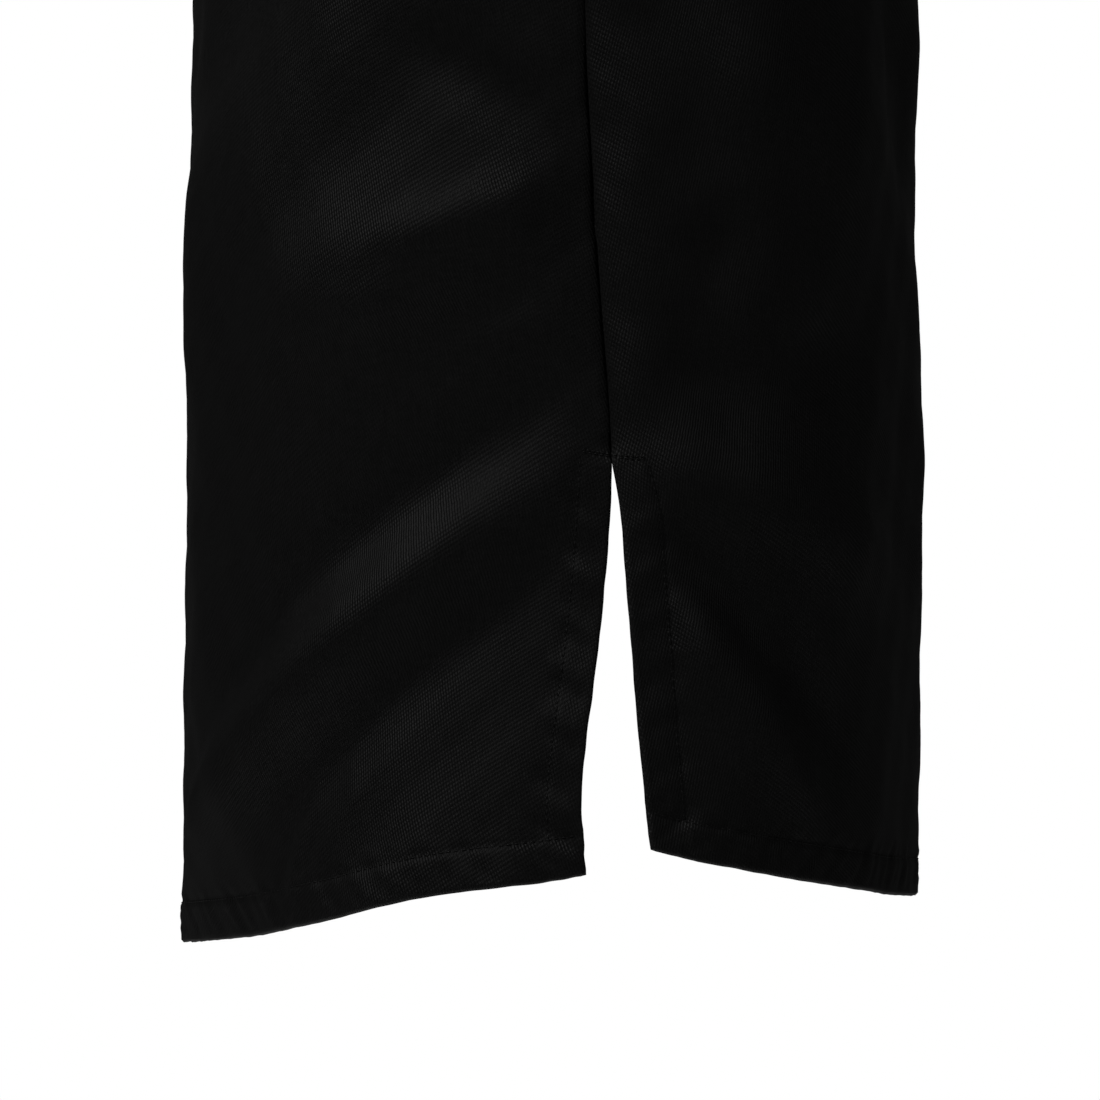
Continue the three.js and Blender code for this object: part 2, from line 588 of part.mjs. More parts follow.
// Sewn edges draw back by half a seam gap, then each wall gets its thickness inwards.
function finishWall(piece) {
  const drawn = piece.grid.map((row) => row.map((point) => point.clone()));
  const lastColumn = piece.grid[0].length - 1;
  const lastRow = piece.grid.length - 1;
  const draw = (r, c, r2, c2) => {
    const inward = piece.grid[r2][c2].clone().sub(piece.grid[r][c]).normalize();
    drawn[r][c].addScaledVector(inward, SEAM_GAP / 2);
  };
  for (const edge of piece.sewn) {
    for (let r = 0; r <= lastRow && edge === "start"; r += 1) draw(r, 0, r, 1);
    for (let r = 0; r <= lastRow && edge === "end"; r += 1) draw(r, lastColumn, r, lastColumn - 1);
    for (let c = 0; c <= lastColumn && edge === "top"; c += 1) draw(lastRow, c, lastRow - 1, c);
    for (let c = 0; c <= lastColumn && edge === "bottom"; c += 1) draw(0, c, 1, c);
  }
  const inner = drawn.map((row, r) =>
    row.map((point, c) => {
      const thick = piece.hem && panelRows[r] <= HEM_DEPTH ? HEM_CLOTH : CLOTH;
      return point.clone().addScaledVector(piece.normals[r][c], -thick);
    }),
  );
  return wallGeometry(drawn, inner, piece.wraps);
}

const cloth = () =>
  new THREE.MeshStandardMaterial({ color: 0x161617, roughness: 0.85, metalness: 0 });
const buttonPlastic = () =>
  new THREE.MeshStandardMaterial({ color: 0x0c0c0d, roughness: 0.35, metalness: 0 });

const jacket = new THREE.Group();
for (const [name, piece] of Object.entries(cutPieces)) {
  const mesh = new THREE.Mesh(finishWall(piece), cloth());
  mesh.name = name;
  jacket.add(mesh);
}

// A flat button with a raised rim, seated just clear of the cloth.
function buttonGeometry() {
  const { radius, thick, rim, dish, sides } = BUTTON;
  const profile = [
    [0, 0],
    [radius - 0.8, 0],
    [radius, thick * 0.45],
    [radius - 0.5, thick],
    [radius - 0.5 - rim, thick],
    [radius - 2.6 - rim, thick - dish],
    [0, thick - dish],
  ].map(([r, y]) => new THREE.Vector2(r, y));
  return new THREE.LatheGeometry(profile, sides).rotateX(Math.PI / 2);
}

for (const side of [1, -1])
  BUTTON_HEIGHTS.forEach((w, k) => {
    const share = side * shareAt(BUTTON_FROM_CENTRE, w);
    const reach = (overlapShare(w) * BUTTON.radius) / OVERLAP;
    const place = (across, up) => clothPoint("front", share + across, w + up, false);
    const centre = place(0, 0);
    const across = place(reach, 0).sub(place(-reach, 0));
    const rise = place(0, BUTTON.radius).sub(place(0, -BUTTON.radius));
    const normal = across.clone().cross(rise).normalize();
    const rim = [-1, 1].flatMap((sign) => [place(sign * reach, 0), place(0, sign * BUTTON.radius)]);
    const proud = Math.max(0, ...rim.map((point) => point.sub(centre).dot(normal)));
    const mesh = new THREE.Mesh(buttonGeometry(), buttonPlastic());
    mesh.name = `button_${side > 0 ? "left" : "right"}_${k + 1}`;
    mesh.position.copy(centre).addScaledVector(normal, proud + SEAM_GAP + 0.15);
    mesh.quaternion.setFromUnitVectors(new THREE.Vector3(0, 0, 1), normal);
    jacket.add(mesh);
  });

export default jacket;
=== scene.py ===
"""A short-sleeved, double-breasted chef jacket of black twill, hollow and filled out as if worn.

Sizes are in millimetres and meshes in metres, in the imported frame: the origin lies midway between the
two neck points, -Y is the front, +X the wearer's left and +Z up. The cloth is worked out on a finer grid
from the tables of the part's source. Three folds of the left front run differently from the ones
there, and the small folds and the sewing are only here. On a panel, u runs round the body from the
centre line (0) to a side seam (1 on the wearer's left, -1 on the right), and w runs up the cloth from
the hem.
"""

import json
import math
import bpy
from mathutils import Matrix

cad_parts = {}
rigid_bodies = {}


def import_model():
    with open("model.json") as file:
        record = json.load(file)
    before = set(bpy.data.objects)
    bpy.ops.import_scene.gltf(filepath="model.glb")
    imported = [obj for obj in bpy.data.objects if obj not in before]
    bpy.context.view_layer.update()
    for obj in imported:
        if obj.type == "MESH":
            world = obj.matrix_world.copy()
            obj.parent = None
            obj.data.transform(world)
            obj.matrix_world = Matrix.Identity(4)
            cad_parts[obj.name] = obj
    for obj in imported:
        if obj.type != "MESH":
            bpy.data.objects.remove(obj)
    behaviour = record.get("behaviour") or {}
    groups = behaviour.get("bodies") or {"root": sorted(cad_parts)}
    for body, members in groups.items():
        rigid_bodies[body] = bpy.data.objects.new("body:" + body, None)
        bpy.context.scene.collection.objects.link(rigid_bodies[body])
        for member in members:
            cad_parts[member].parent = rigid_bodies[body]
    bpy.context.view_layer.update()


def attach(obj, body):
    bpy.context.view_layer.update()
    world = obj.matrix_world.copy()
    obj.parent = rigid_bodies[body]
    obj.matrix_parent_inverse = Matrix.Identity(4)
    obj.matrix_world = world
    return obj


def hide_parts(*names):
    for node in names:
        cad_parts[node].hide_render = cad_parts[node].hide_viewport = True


bl_info = {
    "name": "Chef Jacket",
    "version": (1, 0, 0),
    "blender": (4, 5, 0),
    "location": "View3D > Sidebar > Jacket",
    "description": "Builds a double-breasted chef jacket with open side vents on its packed frame",
    "category": "Add Mesh",
}

from collections import namedtuple
from functools import lru_cache

import bmesh
import bpy
import numpy as np
from bpy.props import FloatProperty, FloatVectorProperty, PointerProperty, StringProperty
from mathutils import Vector

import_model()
MM = 0.001

# Heights, measured up the side of the front from the corner of its hem
CORNER_Z = -740
VENT_FRONT = 132
VENT_BACK = 124
UNDERARM_W = 485
TOP_W = 656
HEM_FADE = 300  # the shaped hem dies out over this height
APEX_Z = CORNER_Z + VENT_FRONT

# Fronts
OVERLAP = 80
OVERLAP_FADE = (4, 27)  # past the overlap the under layer comes forward between these distances
OVERLAP_TOP = 0.6  # height of the free corner, as a share of the way from underarm to neck
OVERLAP_SLOPE = 1.6  # how late the free top edge leaves the neckline
OVERLAP_LEAST = 22  # how far the top of the free edge lies past the centre line
OVERLAP_CELLS = 20
LAYER_STEP = 2.8  # how far the under front lies behind the upper one
LAYER_TOP = (-75, -25)  # between these heights it comes forward to the neckline
SIDE_SEAM_BAND = 24  # folds die out over this width beside a seam
VENT_HOLD = 0.6  # how much of a fold is left at the free edge of a vent
FAR_VENT_SPREAD = 1.45  # how much wider the vent on the wearer's right hangs open

# Thickness and edges of the cloth
CLOTH = 1.1
HEM_CLOTH = 1.9  # with two more layers turned in
COLLAR_CLOTH = 1.5
RIM = 0.55  # room for the rounded rim of a vent's edge
RIM_FADE = 14  # the rim grows over this height, so that the vent opens at its very top
EDGE_BULGE = 0.45  # how far a rim stands out, as a share of the thickness
FREE_EDGE_SHARE = 0.9  # a front's rim is rounded outside the vent too, short of this share
ALLOWANCE = 10
ALLOWANCE_CLOTH = 0.9
ALLOWANCE_BULGE = 0.4
ALLOWANCE_HEIGHTS = (("side", VENT_FRONT + 1, UNDERARM_W), ("armhole", UNDERARM_W, TOP_W - 8))
ALLOWANCE_ROWS = {"shoulder": 2.9, "neck": 2.3}  # its width in rows of the panel's grid
# Cut across a seam allowance: share of the way in from the seam, and depth behind the panel
ALLOWANCE_FLAT = ((-0.3, 2.6), (0, 2), (0.35, 1.8), (0.7, 1.8), (1, 1.9))
ALLOWANCE_RIDGE = ((0, 5.6), (0.12, 2.6), (0.35, 1.8), (0.7, 1.8), (1, 1.9))

# Neck, shoulders and collar
NECK_HALF = 76
NECK_Y = 6
NECK = {"front": {"y": -78, "z": -84, "curve": 1.4}, "back": {"y": 64, "z": -14, "curve": 1.2}}
NECK_SHARE_CELLS = (3, 8, 6)  # side of the front's neckline, shoulder and back neckline
SHOULDER = np.array([224.0, 6.0, -52.0])
SHOULDER_ARCH = 3
SHOULDER_ROUND = 105  # how strongly the cloth rounds over towards the shoulder seam
SHOULDER_END = 0.985  # sewing along the shoulder stops at this share, short of the armhole
SOFT_REACH = 0.2  # the neckline's corner is evened out over this share of a row
SOFT_SAMPLES = 7
CORNER_HOLD = 6  # how quickly the cloth leaves the corner of the neckline behind
COLLAR_HEIGHT = 42
COLLAR_LENGTH = 460
COLLAR_END = 4  # each collar end stops this far from the centre front
COLLAR_ROUND = 15
COLLAR_GAP = 0.3
COLLAR_FINE = 20  # columns lie closer over this length at each end
COLLAR_EVENED = 34  # the top edge follows the foot, evened out over this distance each way
COLLAR_LEVEL = (20, 60)  # it begins to, between these distances from the ends
COLLAR_LEAN = {"sides": 0.1, "back": 0.26, "less": 0.2}  # in at the sides and back, less so in front
COLLAR_STEPS = ((4, 1), (36, 2), (COLLAR_HEIGHT, 1))
COLLAR_CREASE = 0.35
COLLAR_CREASED = (2, 12)  # the creases begin between these heights
COLLAR_GROOVE = (0.5, 1.3)  # depth and width of the groove along the foot
COLLAR_STRETCHES = (
    ("front_left", "front", 1),
    ("back", "back", 1),
    ("back", "back", -1),
    ("front_right", "front", -1),
)

# Sleeves
SLEEVE_DROP = math.radians(28)  # lean of the sleeve away from hanging straight
SLEEVE_END = np.array([300.0, -2.0, -290.0])
SLEEVE_HALF_WIDTH = 54
SLEEVE_HALF_DEPTH = 74
SLEEVE_GIRTH = 2 * math.pi * 64
SLEEVE_COLUMNS = 145
SLEEVE_RINGS = (60, 22)
SLEEVE_FINE = 0.82  # past this share of the sleeve its rings lie closer
SLEEVE_CAP = 11
SLEEVE_CROWN = 8
SLEEVE_UNDER = 0.7  # fullness under the arm, as a share of the cap's
SLEEVE_ASIDE = 0.5  # fullness to the front and the back, likewise
SLEEVE_LENGTH = 200
ARM_RADIUS = 60
SLEEVE_CREASE = 2.6
SLEEVE_TUCK = 3.0  # the first ring turns in under the armhole's edge: this far back and this deep
SLEEVE_TUCK_DEPTH = 1.3
CUFF_DEPTH = 20
CUFF_RADIUS = 62
CUFF_RISE = 0.45
CUFF_EDGE = (2, 1)
CUFF_PUCKERS_END = 8
ARMHOLE_GROOVE = (0.7, 1.6)  # depth and width

# Buttons
BUTTON_FROM_CENTRE = 62
BUTTON_HEIGHTS = (300, 373, 446, 519, 592)
# Half profile from the middle of the underside, out over the edge and the rim to the dish
BUTTON_PROFILE = {
    "radius": (0, 4, 8, 9.1, 9.5, 9.5, 9.25, 8.9, 8.4, 7.9, 7.5, 7.1, 6.6, 5.9, 5.1),
    "height": (0, 0, 0, 0.25, 0.9, 1.9, 2.9, 3.3, 3.4, 3.3, 3.05, 2.85, 2.72, 2.68, 2.66),
}
BUTTON_TOP_FROM = 12  # the holes are cut in the rows after this one
BUTTON_DISH = (4.7, 0.05)
BUTTON_DISH_RINGS = 20
BUTTON_COLUMNS = 57
BUTTON_LIFT = 0.4
WELD_DISTANCE = 0.00002
HOLE_FROM_MIDDLE = 1.6
HOLE_PLACES = ((1.6, 1.6), (-1.6, 1.6), (-1.6, -1.6), (1.6, -1.6))
HOLE_RADII = (0.75, 1.15)
HOLE_DEPTH = 1.7
BUTTONHOLE_HALF_LENGTH = 12.6
BUTTONHOLE_HALF_WIDTH = 1.3
BUTTONHOLE_SHIFT = 1.8
BUTTON_THREAD_REACH = 1.9
BUTTON_THREAD_HEIGHT = 3.0

HALF_WIDTH = {"front": 298, "back": 272}  # from a side seam round to the centre line
SIDE_NAMES = {1: "left", -1: "right"}
PANELS = {"front_left": ("front", (1,)), "front_right": ("front", (-1,)), "back": ("back", (1, -1))}

# Outline of the body at several heights: half width, depth in front and behind, and how square
SECTIONS = {
    "z": (-790, -740, -650, -550, -450, -350, -255),
    "half": (222, 222, 220, 219, 220, 226, 234),
    "front": (144, 144, 143, 142, 140, 136, 132),
    "back": (102, 102, 101, 100, 100, 104, 114),
    "square": (2.7, 2.7, 2.7, 2.65, 2.6, 2.5, 2.4),
}
SIDE_SEAM = {"z": (-740, -608, -540, -460, -255), "y": (1.5, 0, -4.6, -8.6, -8)}
VENT_EDGES = {
    "below": (0, 18, 43, 69, 94, 107, 120, 132),
    "front": (0, 1.2, 3.6, 6.8, 10.0, 11.1, 10.6, 9.5),
    "back": (0, 2.6, 4.1, 5.9, 7.6, 8.8, 9.9, 11.1),
}
HEM_DROP = {
    "round": (0, 13, 26, 45, 60, 85, 110, 135, 200, 330),
    "front": (0, 2.2, 3.7, 6.4, 9.4, 14.8, 18.6, 21.6, 26, 31),
    "back": (0, 3.4, 5.9, 9.2, 11.2, 14.0, 16.1, 17.7, 20, 22),
}
CENTRE = {
    "front": {
        "up": (0, 0.32, 0.64, 1),
        "x": (0, 0, 0, 0),
        "y": (-132, -130, -115, -78),
        "z": (-255, -200, -145, -84),
    },
    "back": {
        "up": (0, 0.32, 0.66, 1),
        "x": (0, 0, 0, 0),
        "y": (114, 121, 107, 64),
        "z": (-255, -178, -94, -14),
    },
}
ARMHOLE = {
    "front": {
        "up": (0, 0.1, 0.2, 0.42, 0.64, 0.84, 1),
        "x": (234, 233, 227, 202, 195, 207, 224),
        "y": (-8, -30, -51, -74, -70, -40, 6),
        "z": (-255, -250, -238, -194, -140, -83, -52),
    },
    "back": {
        "up": (0, 0.1, 0.2, 0.42, 0.64, 0.84, 1),
        "x": (234, 234, 228, 207, 202, 210, 224),
        "y": (-8, 17, 42, 74, 76, 46, 6),
        "z": (-255, -251, -240, -197, -140, -82, -52),
    },
}

# Folds: a soft ridge, or a trough where high is negative, from one place to another. The places give
# the distance round from the side seam on one side of the wearer (1 left, -1 right) and the height.
Fold = namedtuple("Fold", "side start end high wide")
FOLDS = {
    "front": (
        Fold(1, (26, 123), (204, 24), 7, 17),
        Fold(1, (14, 96), (112, 36), -3.5, 15),
        Fold(1, (14, 156), (190, 56), -4.5, 14),
        Fold(1, (20, 222), (120, 180), 4, 22),
        Fold(1, (60, 292), (170, 215), 4.5, 26),
        Fold(-1, (25, 122), (145, 40), 6, 18),
        Fold(-1, (32, 84), (120, 14), -4, 16),
        Fold(-1, (32, 226), (155, 150), 4.5, 26),
        Fold(1, (48, 476), (176, 360), 6, 19),
        Fold(-1, (48, 470), (168, 352), 6, 19),
        Fold(1, (58, 400), (156, 285), -4.5, 20),
        Fold(-1, (56, 396), (146, 270), -4, 22),
        Fold(1, (178, 330), (184, 30), 4, 26),
        Fold(-1, (174, 300), (180, 10), 3.5, 26),
    ),
    "back": (
        Fold(1, (8, 150), (118, 178), -4, 16),
        Fold(1, (18, 134), (125, 108), 4.5, 17),
        Fold(1, (8, 116), (92, 46), -4.5, 13),
        Fold(1, (14, 92), (62, 22), 5, 14),
        Fold(1, (30, 260), (140, 232), 4, 26),
        Fold(-1, (30, 118), (120, 30), 5, 18),
        Fold(-1, (28, 214), (160, 180), 4, 24),
        Fold(1, (46, 470), (166, 330), 6.5, 20),
        Fold(-1, (46, 474), (158, 322), 6.5, 20),
        Fold(1, (90, 410), (206, 215), -4.5, 24),
        Fold(-1, (94, 405), (196, 225), -4.5, 24),
        Fold(1, (210, 330), (194, 40), 4.5, 28),
        Fold(-1, (214, 345), (186, 30), 4.5, 28),
        Fold(1, (122, 600), (212, 545), 3.5, 20),
        Fold(-1, (122, 600), (208, 540), 3.5, 20),
    ),
}
# Smaller folds that only the render has
SMALL_FOLDS = {
    "front": (
        Fold(1, (30, 206), (210, 192), 5.5, 44),
        Fold(1, (108, -16), (220, -26), -8.0, 42),
        Fold(1, (0, -12), (80, -16), 9.0, 42),
        Fold(1, (16, 219), (74, 202), 3.0, 9),
        Fold(1, (30, 196), (86, 184), 2.2, 9),
        Fold(1, (14, 178), (46, 171), 1.5, 7),
        Fold(1, (14, 242), (66, 270), -2.6, 11),
        Fold(1, (84, 66), (76, 30), 0.9, 5),
        Fold(1, (108, 12), (96, 46), 1.2, 5),
        Fold(1, (118, 8), (104, 40), -0.8, 5),
        Fold(-1, (20, 96), (70, 60), 1.2, 9),
        Fold(-1, (22, 176), (90, 150), 1.4, 11),
        Fold(-1, (24, 214), (80, 200), 1.6, 9),
    ),
    "back": (
        Fold(1, (38, 96), (36, 440), -5.5, 20),
        Fold(1, (10, 66), (40, 24), 1.2, 7),
        Fold(1, (14, 150), (60, 160), 1.0, 9),
        Fold(1, (16, 212), (70, 226), 1.2, 10),
        Fold(-1, (16, 92), (60, 50), 1.3, 9),
        Fold(-1, (16, 176), (80, 150), 1.4, 12),
    ),
}

FOLD_TOP = (60, 20)  # folds die out between these distances below the top
FOLD_STARTS = (-0.25, 0.3)  # shares of a fold's length over which it rises, and over which it sinks
FOLD_STOPS = (0.65, 1.3)

# Relief beside a side seam: how deep and wide the pressed allowance sinks, how far the vent's edge curls
# and flares out, and how strongly its facing puckers
RELIEF = {
    "front": {"sink": 2.4, "sink_width": 13, "curl": -0.5, "flare": 11, "pucker": 1},
    "back": {"sink": 0.9, "sink_width": 8, "curl": 2.0, "flare": 0, "pucker": 0.55},
}
GROOVE_WIDTH = 1.5
CURL_WIDTH = 10
FLARE_WIDTH = 75
CHANNEL_WIDTH = 1.3  # the stitching pulls the cloth in along a channel
CHANNEL_DEPTH = 0.4
SEAM_ENDS = (1, 4)  # the seam's relief begins and ends over these distances
SINK_POWER = 1.15
CURL_RISE = 30  # the curl grows over this height below the vent's top
FLARE_RISE = (20, 110)
FLARE_POWER = 1.5
TURNED_EDGE = (1.2, 1)  # turned-in layers end over these distances inside and past the stitching
PUCKERS_START = 4
PUCKERS_END = 7
SEAM_PUCKERS = (3, 12, 26)  # beside the seam they grow over the first width and die out between the others

# Puckers and creases: sine waves, each with a height, length, lean and start
HEM_WAVES = ((0.26, 11, 0.9, 0.4), (0.2, 17.5, 0.6, 2.0), (0.1, 6.3, 1.2, 1))
VENT_WAVES = ((0.42, 15, -0.55, 0.7), (0.3, 23, -0.35, 2.1), (0.15, 8.1, -0.8, 0.2))
SEAM_WAVES = ((0.18, 31, -0.4, 1.1), (0.14, 19, 0.5, 0.3))
CLOTH_WAVES = ((0.35, 83, 0.8, 0.2), (0.3, 57, -1.3, 1.9), (0.18, 29, 0.5, 2.4), (0.06, 15, -1.1, 0.6))
SLEEVE_WAVES = ((0.7, 61, 0.9, 0.4), (0.5, 38, -0.7, 1.2))
CUFF_WAVES = ((0.2, 14, 0.8, 0.3), (0.14, 23, 0.5, 1.4))
COLLAR_WAVES = ((1, 61, 0.6, 0.5), (0.7, 37, -0.5, 1.3))

# The twill: how far its ribs wander, the direction and height of the weft, and streaks of the yarns
RIB_WANDER = 0.7
WEFT = (0.32, -0.62)
WEFT_HEIGHT = 0.45
YARN_STREAKS = ((1300, 90, 1), (110, 1100, 1))

# Sewing: distances of the stitches from the edges, and the shape of one stitch
HEM_STITCHING_GAP = 1.5
SEAM_STITCHING = 6
COLLAR_STITCHING = 5
COLLAR_FOOT_STITCHING = 3
COLLAR_STITCHED = 6  # in columns from its ends
BAR_FROM = 0.4
BAR_SECOND_ROW = 0.7
BAR_REACH = {"front": 9.5, "back": 11.0}
BAR_RISE = {"front": 0.29, "back": 0.08}  # how steeply the bar rises away from the vent
THREAD = 0.26  # radius
SPECIAL_STITCHES = {  # length, and radius of the thread
    "vent_bars": (1.6, 0.3),
    "button_threads": (3.9, 0.42),
    "buttonholes": (0.9, 0.4),
}
STITCH_RINGS = np.array([-0.5, -0.44, -0.2, 0.2, 0.44, 0.5])
STITCH_SIDES = 5
STITCH_COVER = 0.84  # share of a stitch's length in which the thread shows
STITCH_FLATNESS = 0.8
STITCH_TIP = 0.04  # square of a stitch's radius at its ends
STITCH_LIFT = 0.16
STITCH_DIP = 0.5

# Grids: (up to this distance, step) for columns from a side seam and for rows from the hem
COLUMN_STEPS = ((15, 1.25), (165, 2.3), (298, 4.2))
ROW_STEPS = ((20, 1.25), (VENT_FRONT, 2.24), (290, 2.3), (UNDERARM_W, 3.6), (TOP_W, 3.42))
OUTLINE_STEPS = 2400

# Camera: level with the top of the vent, so that both vents line up. Its lens is shifted so that the
# picture's middle lies at these places on the wearer's left side, where it is this wide.
SIDE_X = 220
MIDDLE_Y = -19.8
MIDDLE_Z = -636.8
FRAME_WIDTH = 352
CAMERA_DISTANCE = 4000
SENSOR = 36
FLOOR_RADIUS = 2300.0
FLOOR_Z = -1800.0
FLOOR_SIDES = 96
FLOOR_GRAIN = (0.8, 0.8, 0.8, 1)
CAMERA_REACH = (0.1, 60)  # in metres, like the lights' places and widths
LIGHTS = {
    "key": ((1.5, -1.85, 2.0), 0.7),
    "fill": ((2.4, 2.5, 0.5), 1.8),
    "overhead": ((-1.7, 0.0, 1.9), 1.2),
}
LIT_PLACE = (0.1, 0, -0.5)

Surface = namedtuple("Surface", "points rows shares turned")
NO_TRIS = np.empty((0, 3), dtype=np.int32)


def smooth(low, high, x):
    """0 below low, 1 above high and a soft S-shaped step between them."""
    t = np.clip((np.asarray(x, float) - low) / (high - low), 0, 1)
    return t * t * (3 - 2 * t)


def bell(x, width):
    """A bump of height 1 at 0 that has all but gone two widths away."""
    return np.exp(-((x / width) ** 2))


def fall(x, width):
    """1 at 0 and a straight fall to 0 at a width."""
    return np.clip(1 - x / width, 0, 1)


def unit(vectors):
    """Vectors scaled to length 1."""
    return vectors / np.maximum(np.linalg.norm(vectors, axis=-1, keepdims=True), 1e-9)


def running_length(points):
    """Length along a line of points, from 0 at the first."""
    return np.concatenate([[0], np.cumsum(np.linalg.norm(np.diff(points, axis=0), axis=1))])


def on_line(run, values, places):
    """Values at places along a line, between those given for its points; run is the points' own places."""
    return np.stack([np.interp(places, run, column) for column in values.T], axis=-1)


def along(table, key, column, at):
    """Values of a table's column at places between its rows, on a smooth curve through them."""
    x, y = np.asarray(table[key], float), np.asarray(table[column], float)
    last = len(x) - 1
    before, after = np.maximum(np.arange(last + 1) - 1, 0), np.minimum(np.arange(last + 1) + 1, last)
    slope = (y[after] - y[before]) / (x[after] - x[before])
    at = np.clip(at, x[0], x[-1])
    i = np.clip(np.searchsorted(x, at, side="right") - 1, 0, last - 1)
    step = x[i + 1] - x[i]
    t = (at - x[i]) / step
    rise = y[i] * (1 + 2 * t) * (1 - t) ** 2 + y[i + 1] * t * t * (3 - 2 * t)
    return rise + slope[i] * step * t * (1 - t) ** 2 + slope[i + 1] * step * t * t * (t - 1)


def point_along(table, up):
    """Places on a curve in space that a table of x, y and z gives."""
    return np.stack([along(table, "up", axis, up) for axis in "xyz"], axis=-1)


@lru_cache(maxsize=None)
def outline(z):
    """Half outline of the body at a height: a rounded oblong from the centre front to the centre back.

    x is the half width times the sine of a turn, and y the depth times its cosine, each raised to 2
    over the squareness. Gives x, y and the running length.
    """
    columns = ("half", "front", "back", "square")
    half, front, back, square = (float(along(SECTIONS, "z", column, z)) for column in columns)
    turn = np.linspace(0, math.pi, OUTLINE_STEPS + 1)
    c = np.cos(turn)
    x = half * np.abs(np.sin(turn)) ** (2 / square)
    y = np.where(c > 0, -front, back) * np.abs(c) ** (2 / square)
    run = np.concatenate([[0], np.cumsum(np.hypot(np.diff(x), np.diff(y)))])
    return x, y, run


def lower_row(part, u, w, side):
    """One row of cloth below the underarm, at shares u (0 to 1) of the way to the side seam.

    The row follows the outline at its height, its end hangs away from the seam line in the vent, and
    it drops towards the middle of the panel as the shaped hem does.
    """
    vent = VENT_FRONT if part == "front" else VENT_BACK
    z = APEX_Z - (VENT_FRONT - w) * vent / VENT_FRONT if w < VENT_FRONT else CORNER_Z + w
    hang = float(along(VENT_EDGES, "below", part, VENT_FRONT - w)) * (1 if side > 0 else FAR_VENT_SPREAD)
    hang += RIM * float(smooth(0, RIM_FADE, VENT_FRONT - w))
    x, y, run = outline(round(z, 4))
    seam = float(along(SIDE_SEAM, "z", "y", z)) + (-hang if part == "front" else hang)
    end = np.interp(seam, y, run)
    width = end if part == "front" else run[-1] - end
    at = u * width if part == "front" else run[-1] - u * width
    drop = along(HEM_DROP, "round", part, (1 - u) * width) * (1 - smooth(0, HEM_FADE, w))
    return np.stack([side * np.interp(at, run, x), np.interp(at, run, y), z - drop], axis=-1)


def overlap_share(w):
    """Share of the way to the side seam that the overlap takes at a height."""
    z = CORNER_Z + min(w, UNDERARM_W)
    x, y, run = outline(round(z, 4))
    return OVERLAP / np.interp(float(along(SIDE_SEAM, "z", "y", z)), y, run)


SIDE_CELLS, SHOULDER_CELLS, BACK_CELLS = NECK_SHARE_CELLS
TOP_OVERLAP = overlap_share(UNDERARM_W)
NECK_SHARE = {
    "front": TOP_OVERLAP + (1 - TOP_OVERLAP) * SIDE_CELLS / (SIDE_CELLS + SHOULDER_CELLS),
    "back": BACK_CELLS / (BACK_CELLS + SHOULDER_CELLS),
}


def top_edge(part, u):
    """Top edge of a panel at shares u: a quarter of the neckline's oval, then the shoulder seam."""
    low = NECK[part]
    turn = math.pi / 2 * np.clip(u / NECK_SHARE[part], 0, 1)
    c = np.cos(turn)
    y = NECK_Y + (low["y"] - NECK_Y) * c
    z = low["z"] * np.maximum(c, 0) ** low["curve"]
    neckline = np.stack([NECK_HALF * np.sin(turn), y, z], axis=-1)
    t = np.clip((u - NECK_SHARE[part]) / (1 - NECK_SHARE[part]), 0, 1)
    neck_point = np.array([NECK_HALF, NECK_Y, 0.0])
    shoulder = neck_point + (SHOULDER - neck_point) * t[..., None]
    shoulder[..., 2] += SHOULDER_ARCH * np.sin(math.pi * t)
    return np.where((u <= NECK_SHARE[part])[..., None], neckline, shoulder)


def upper_patch(part, u, up):
    """Cloth above the underarm: a patch stretched between its four edges.

    Its foot is the row at the underarm, its top a softened neckline and shoulder, and its sides the
    centre line and the armhole. It rounds over towards the shoulder seam.
    """
    reach = np.minimum(np.minimum(SOFT_REACH, u), 1 - u)
    soft = sum(top_edge(part, u + s * reach) for s in np.linspace(-1, 1, SOFT_SAMPLES)) / SOFT_SAMPLES
    hold = (up**CORNER_HOLD)[..., None]
    top = soft * (1 - hold) + top_edge(part, u) * hold
    bottom = lower_row(part, u.ravel(), UNDERARM_W, 1).reshape(u.shape + (3,))
    s, t = u[..., None], up[..., None]
    ends = [point_along(table, at) for at in (0.0, 1.0) for table in (CENTRE[part], ARMHOLE[part])]
    place = bottom * (1 - t) + top * t
    place += point_along(CENTRE[part], up) * (1 - s) + point_along(ARMHOLE[part], up) * s
    place -= (1 - t) * ((1 - s) * ends[0] + s * ends[1]) + t * ((1 - s) * ends[2] + s * ends[3])
    place[..., 2] += SHOULDER_ROUND * np.sin(math.pi * u) * up**3 * (1 - up)
    return place


def body_grid(part, shares, rows):
    """Bare surface of a panel. shares is a grid, signed towards the wearer's left; rows its heights."""
    grid = np.empty(shares.shape + (3,))
    low = rows <= UNDERARM_W
    u = np.minimum(np.abs(shares), 1)
    for r in np.flatnonzero(low):
        left = lower_row(part, u[r], float(rows[r]), 1)
        right = lower_row(part, u[r], float(rows[r]), -1)
        grid[r] = np.where((shares[r] >= 0)[:, None], left, right)
    if not low.all():
        up = np.broadcast_to((rows[~low, None] - UNDERARM_W) / (TOP_W - UNDERARM_W), u[~low].shape)
        upper = upper_patch(part, u[~low], up)
        upper[..., 0] *= np.where(shares[~low] < 0, -1, 1)
        grid[~low] = upper
    return grid


def grid_normals(points, turned):
    """Unit normals of a grid of points, from the directions of its rows and columns."""
    return turned * unit(np.cross(np.gradient(points, axis=1), np.gradient(points, axis=0)))


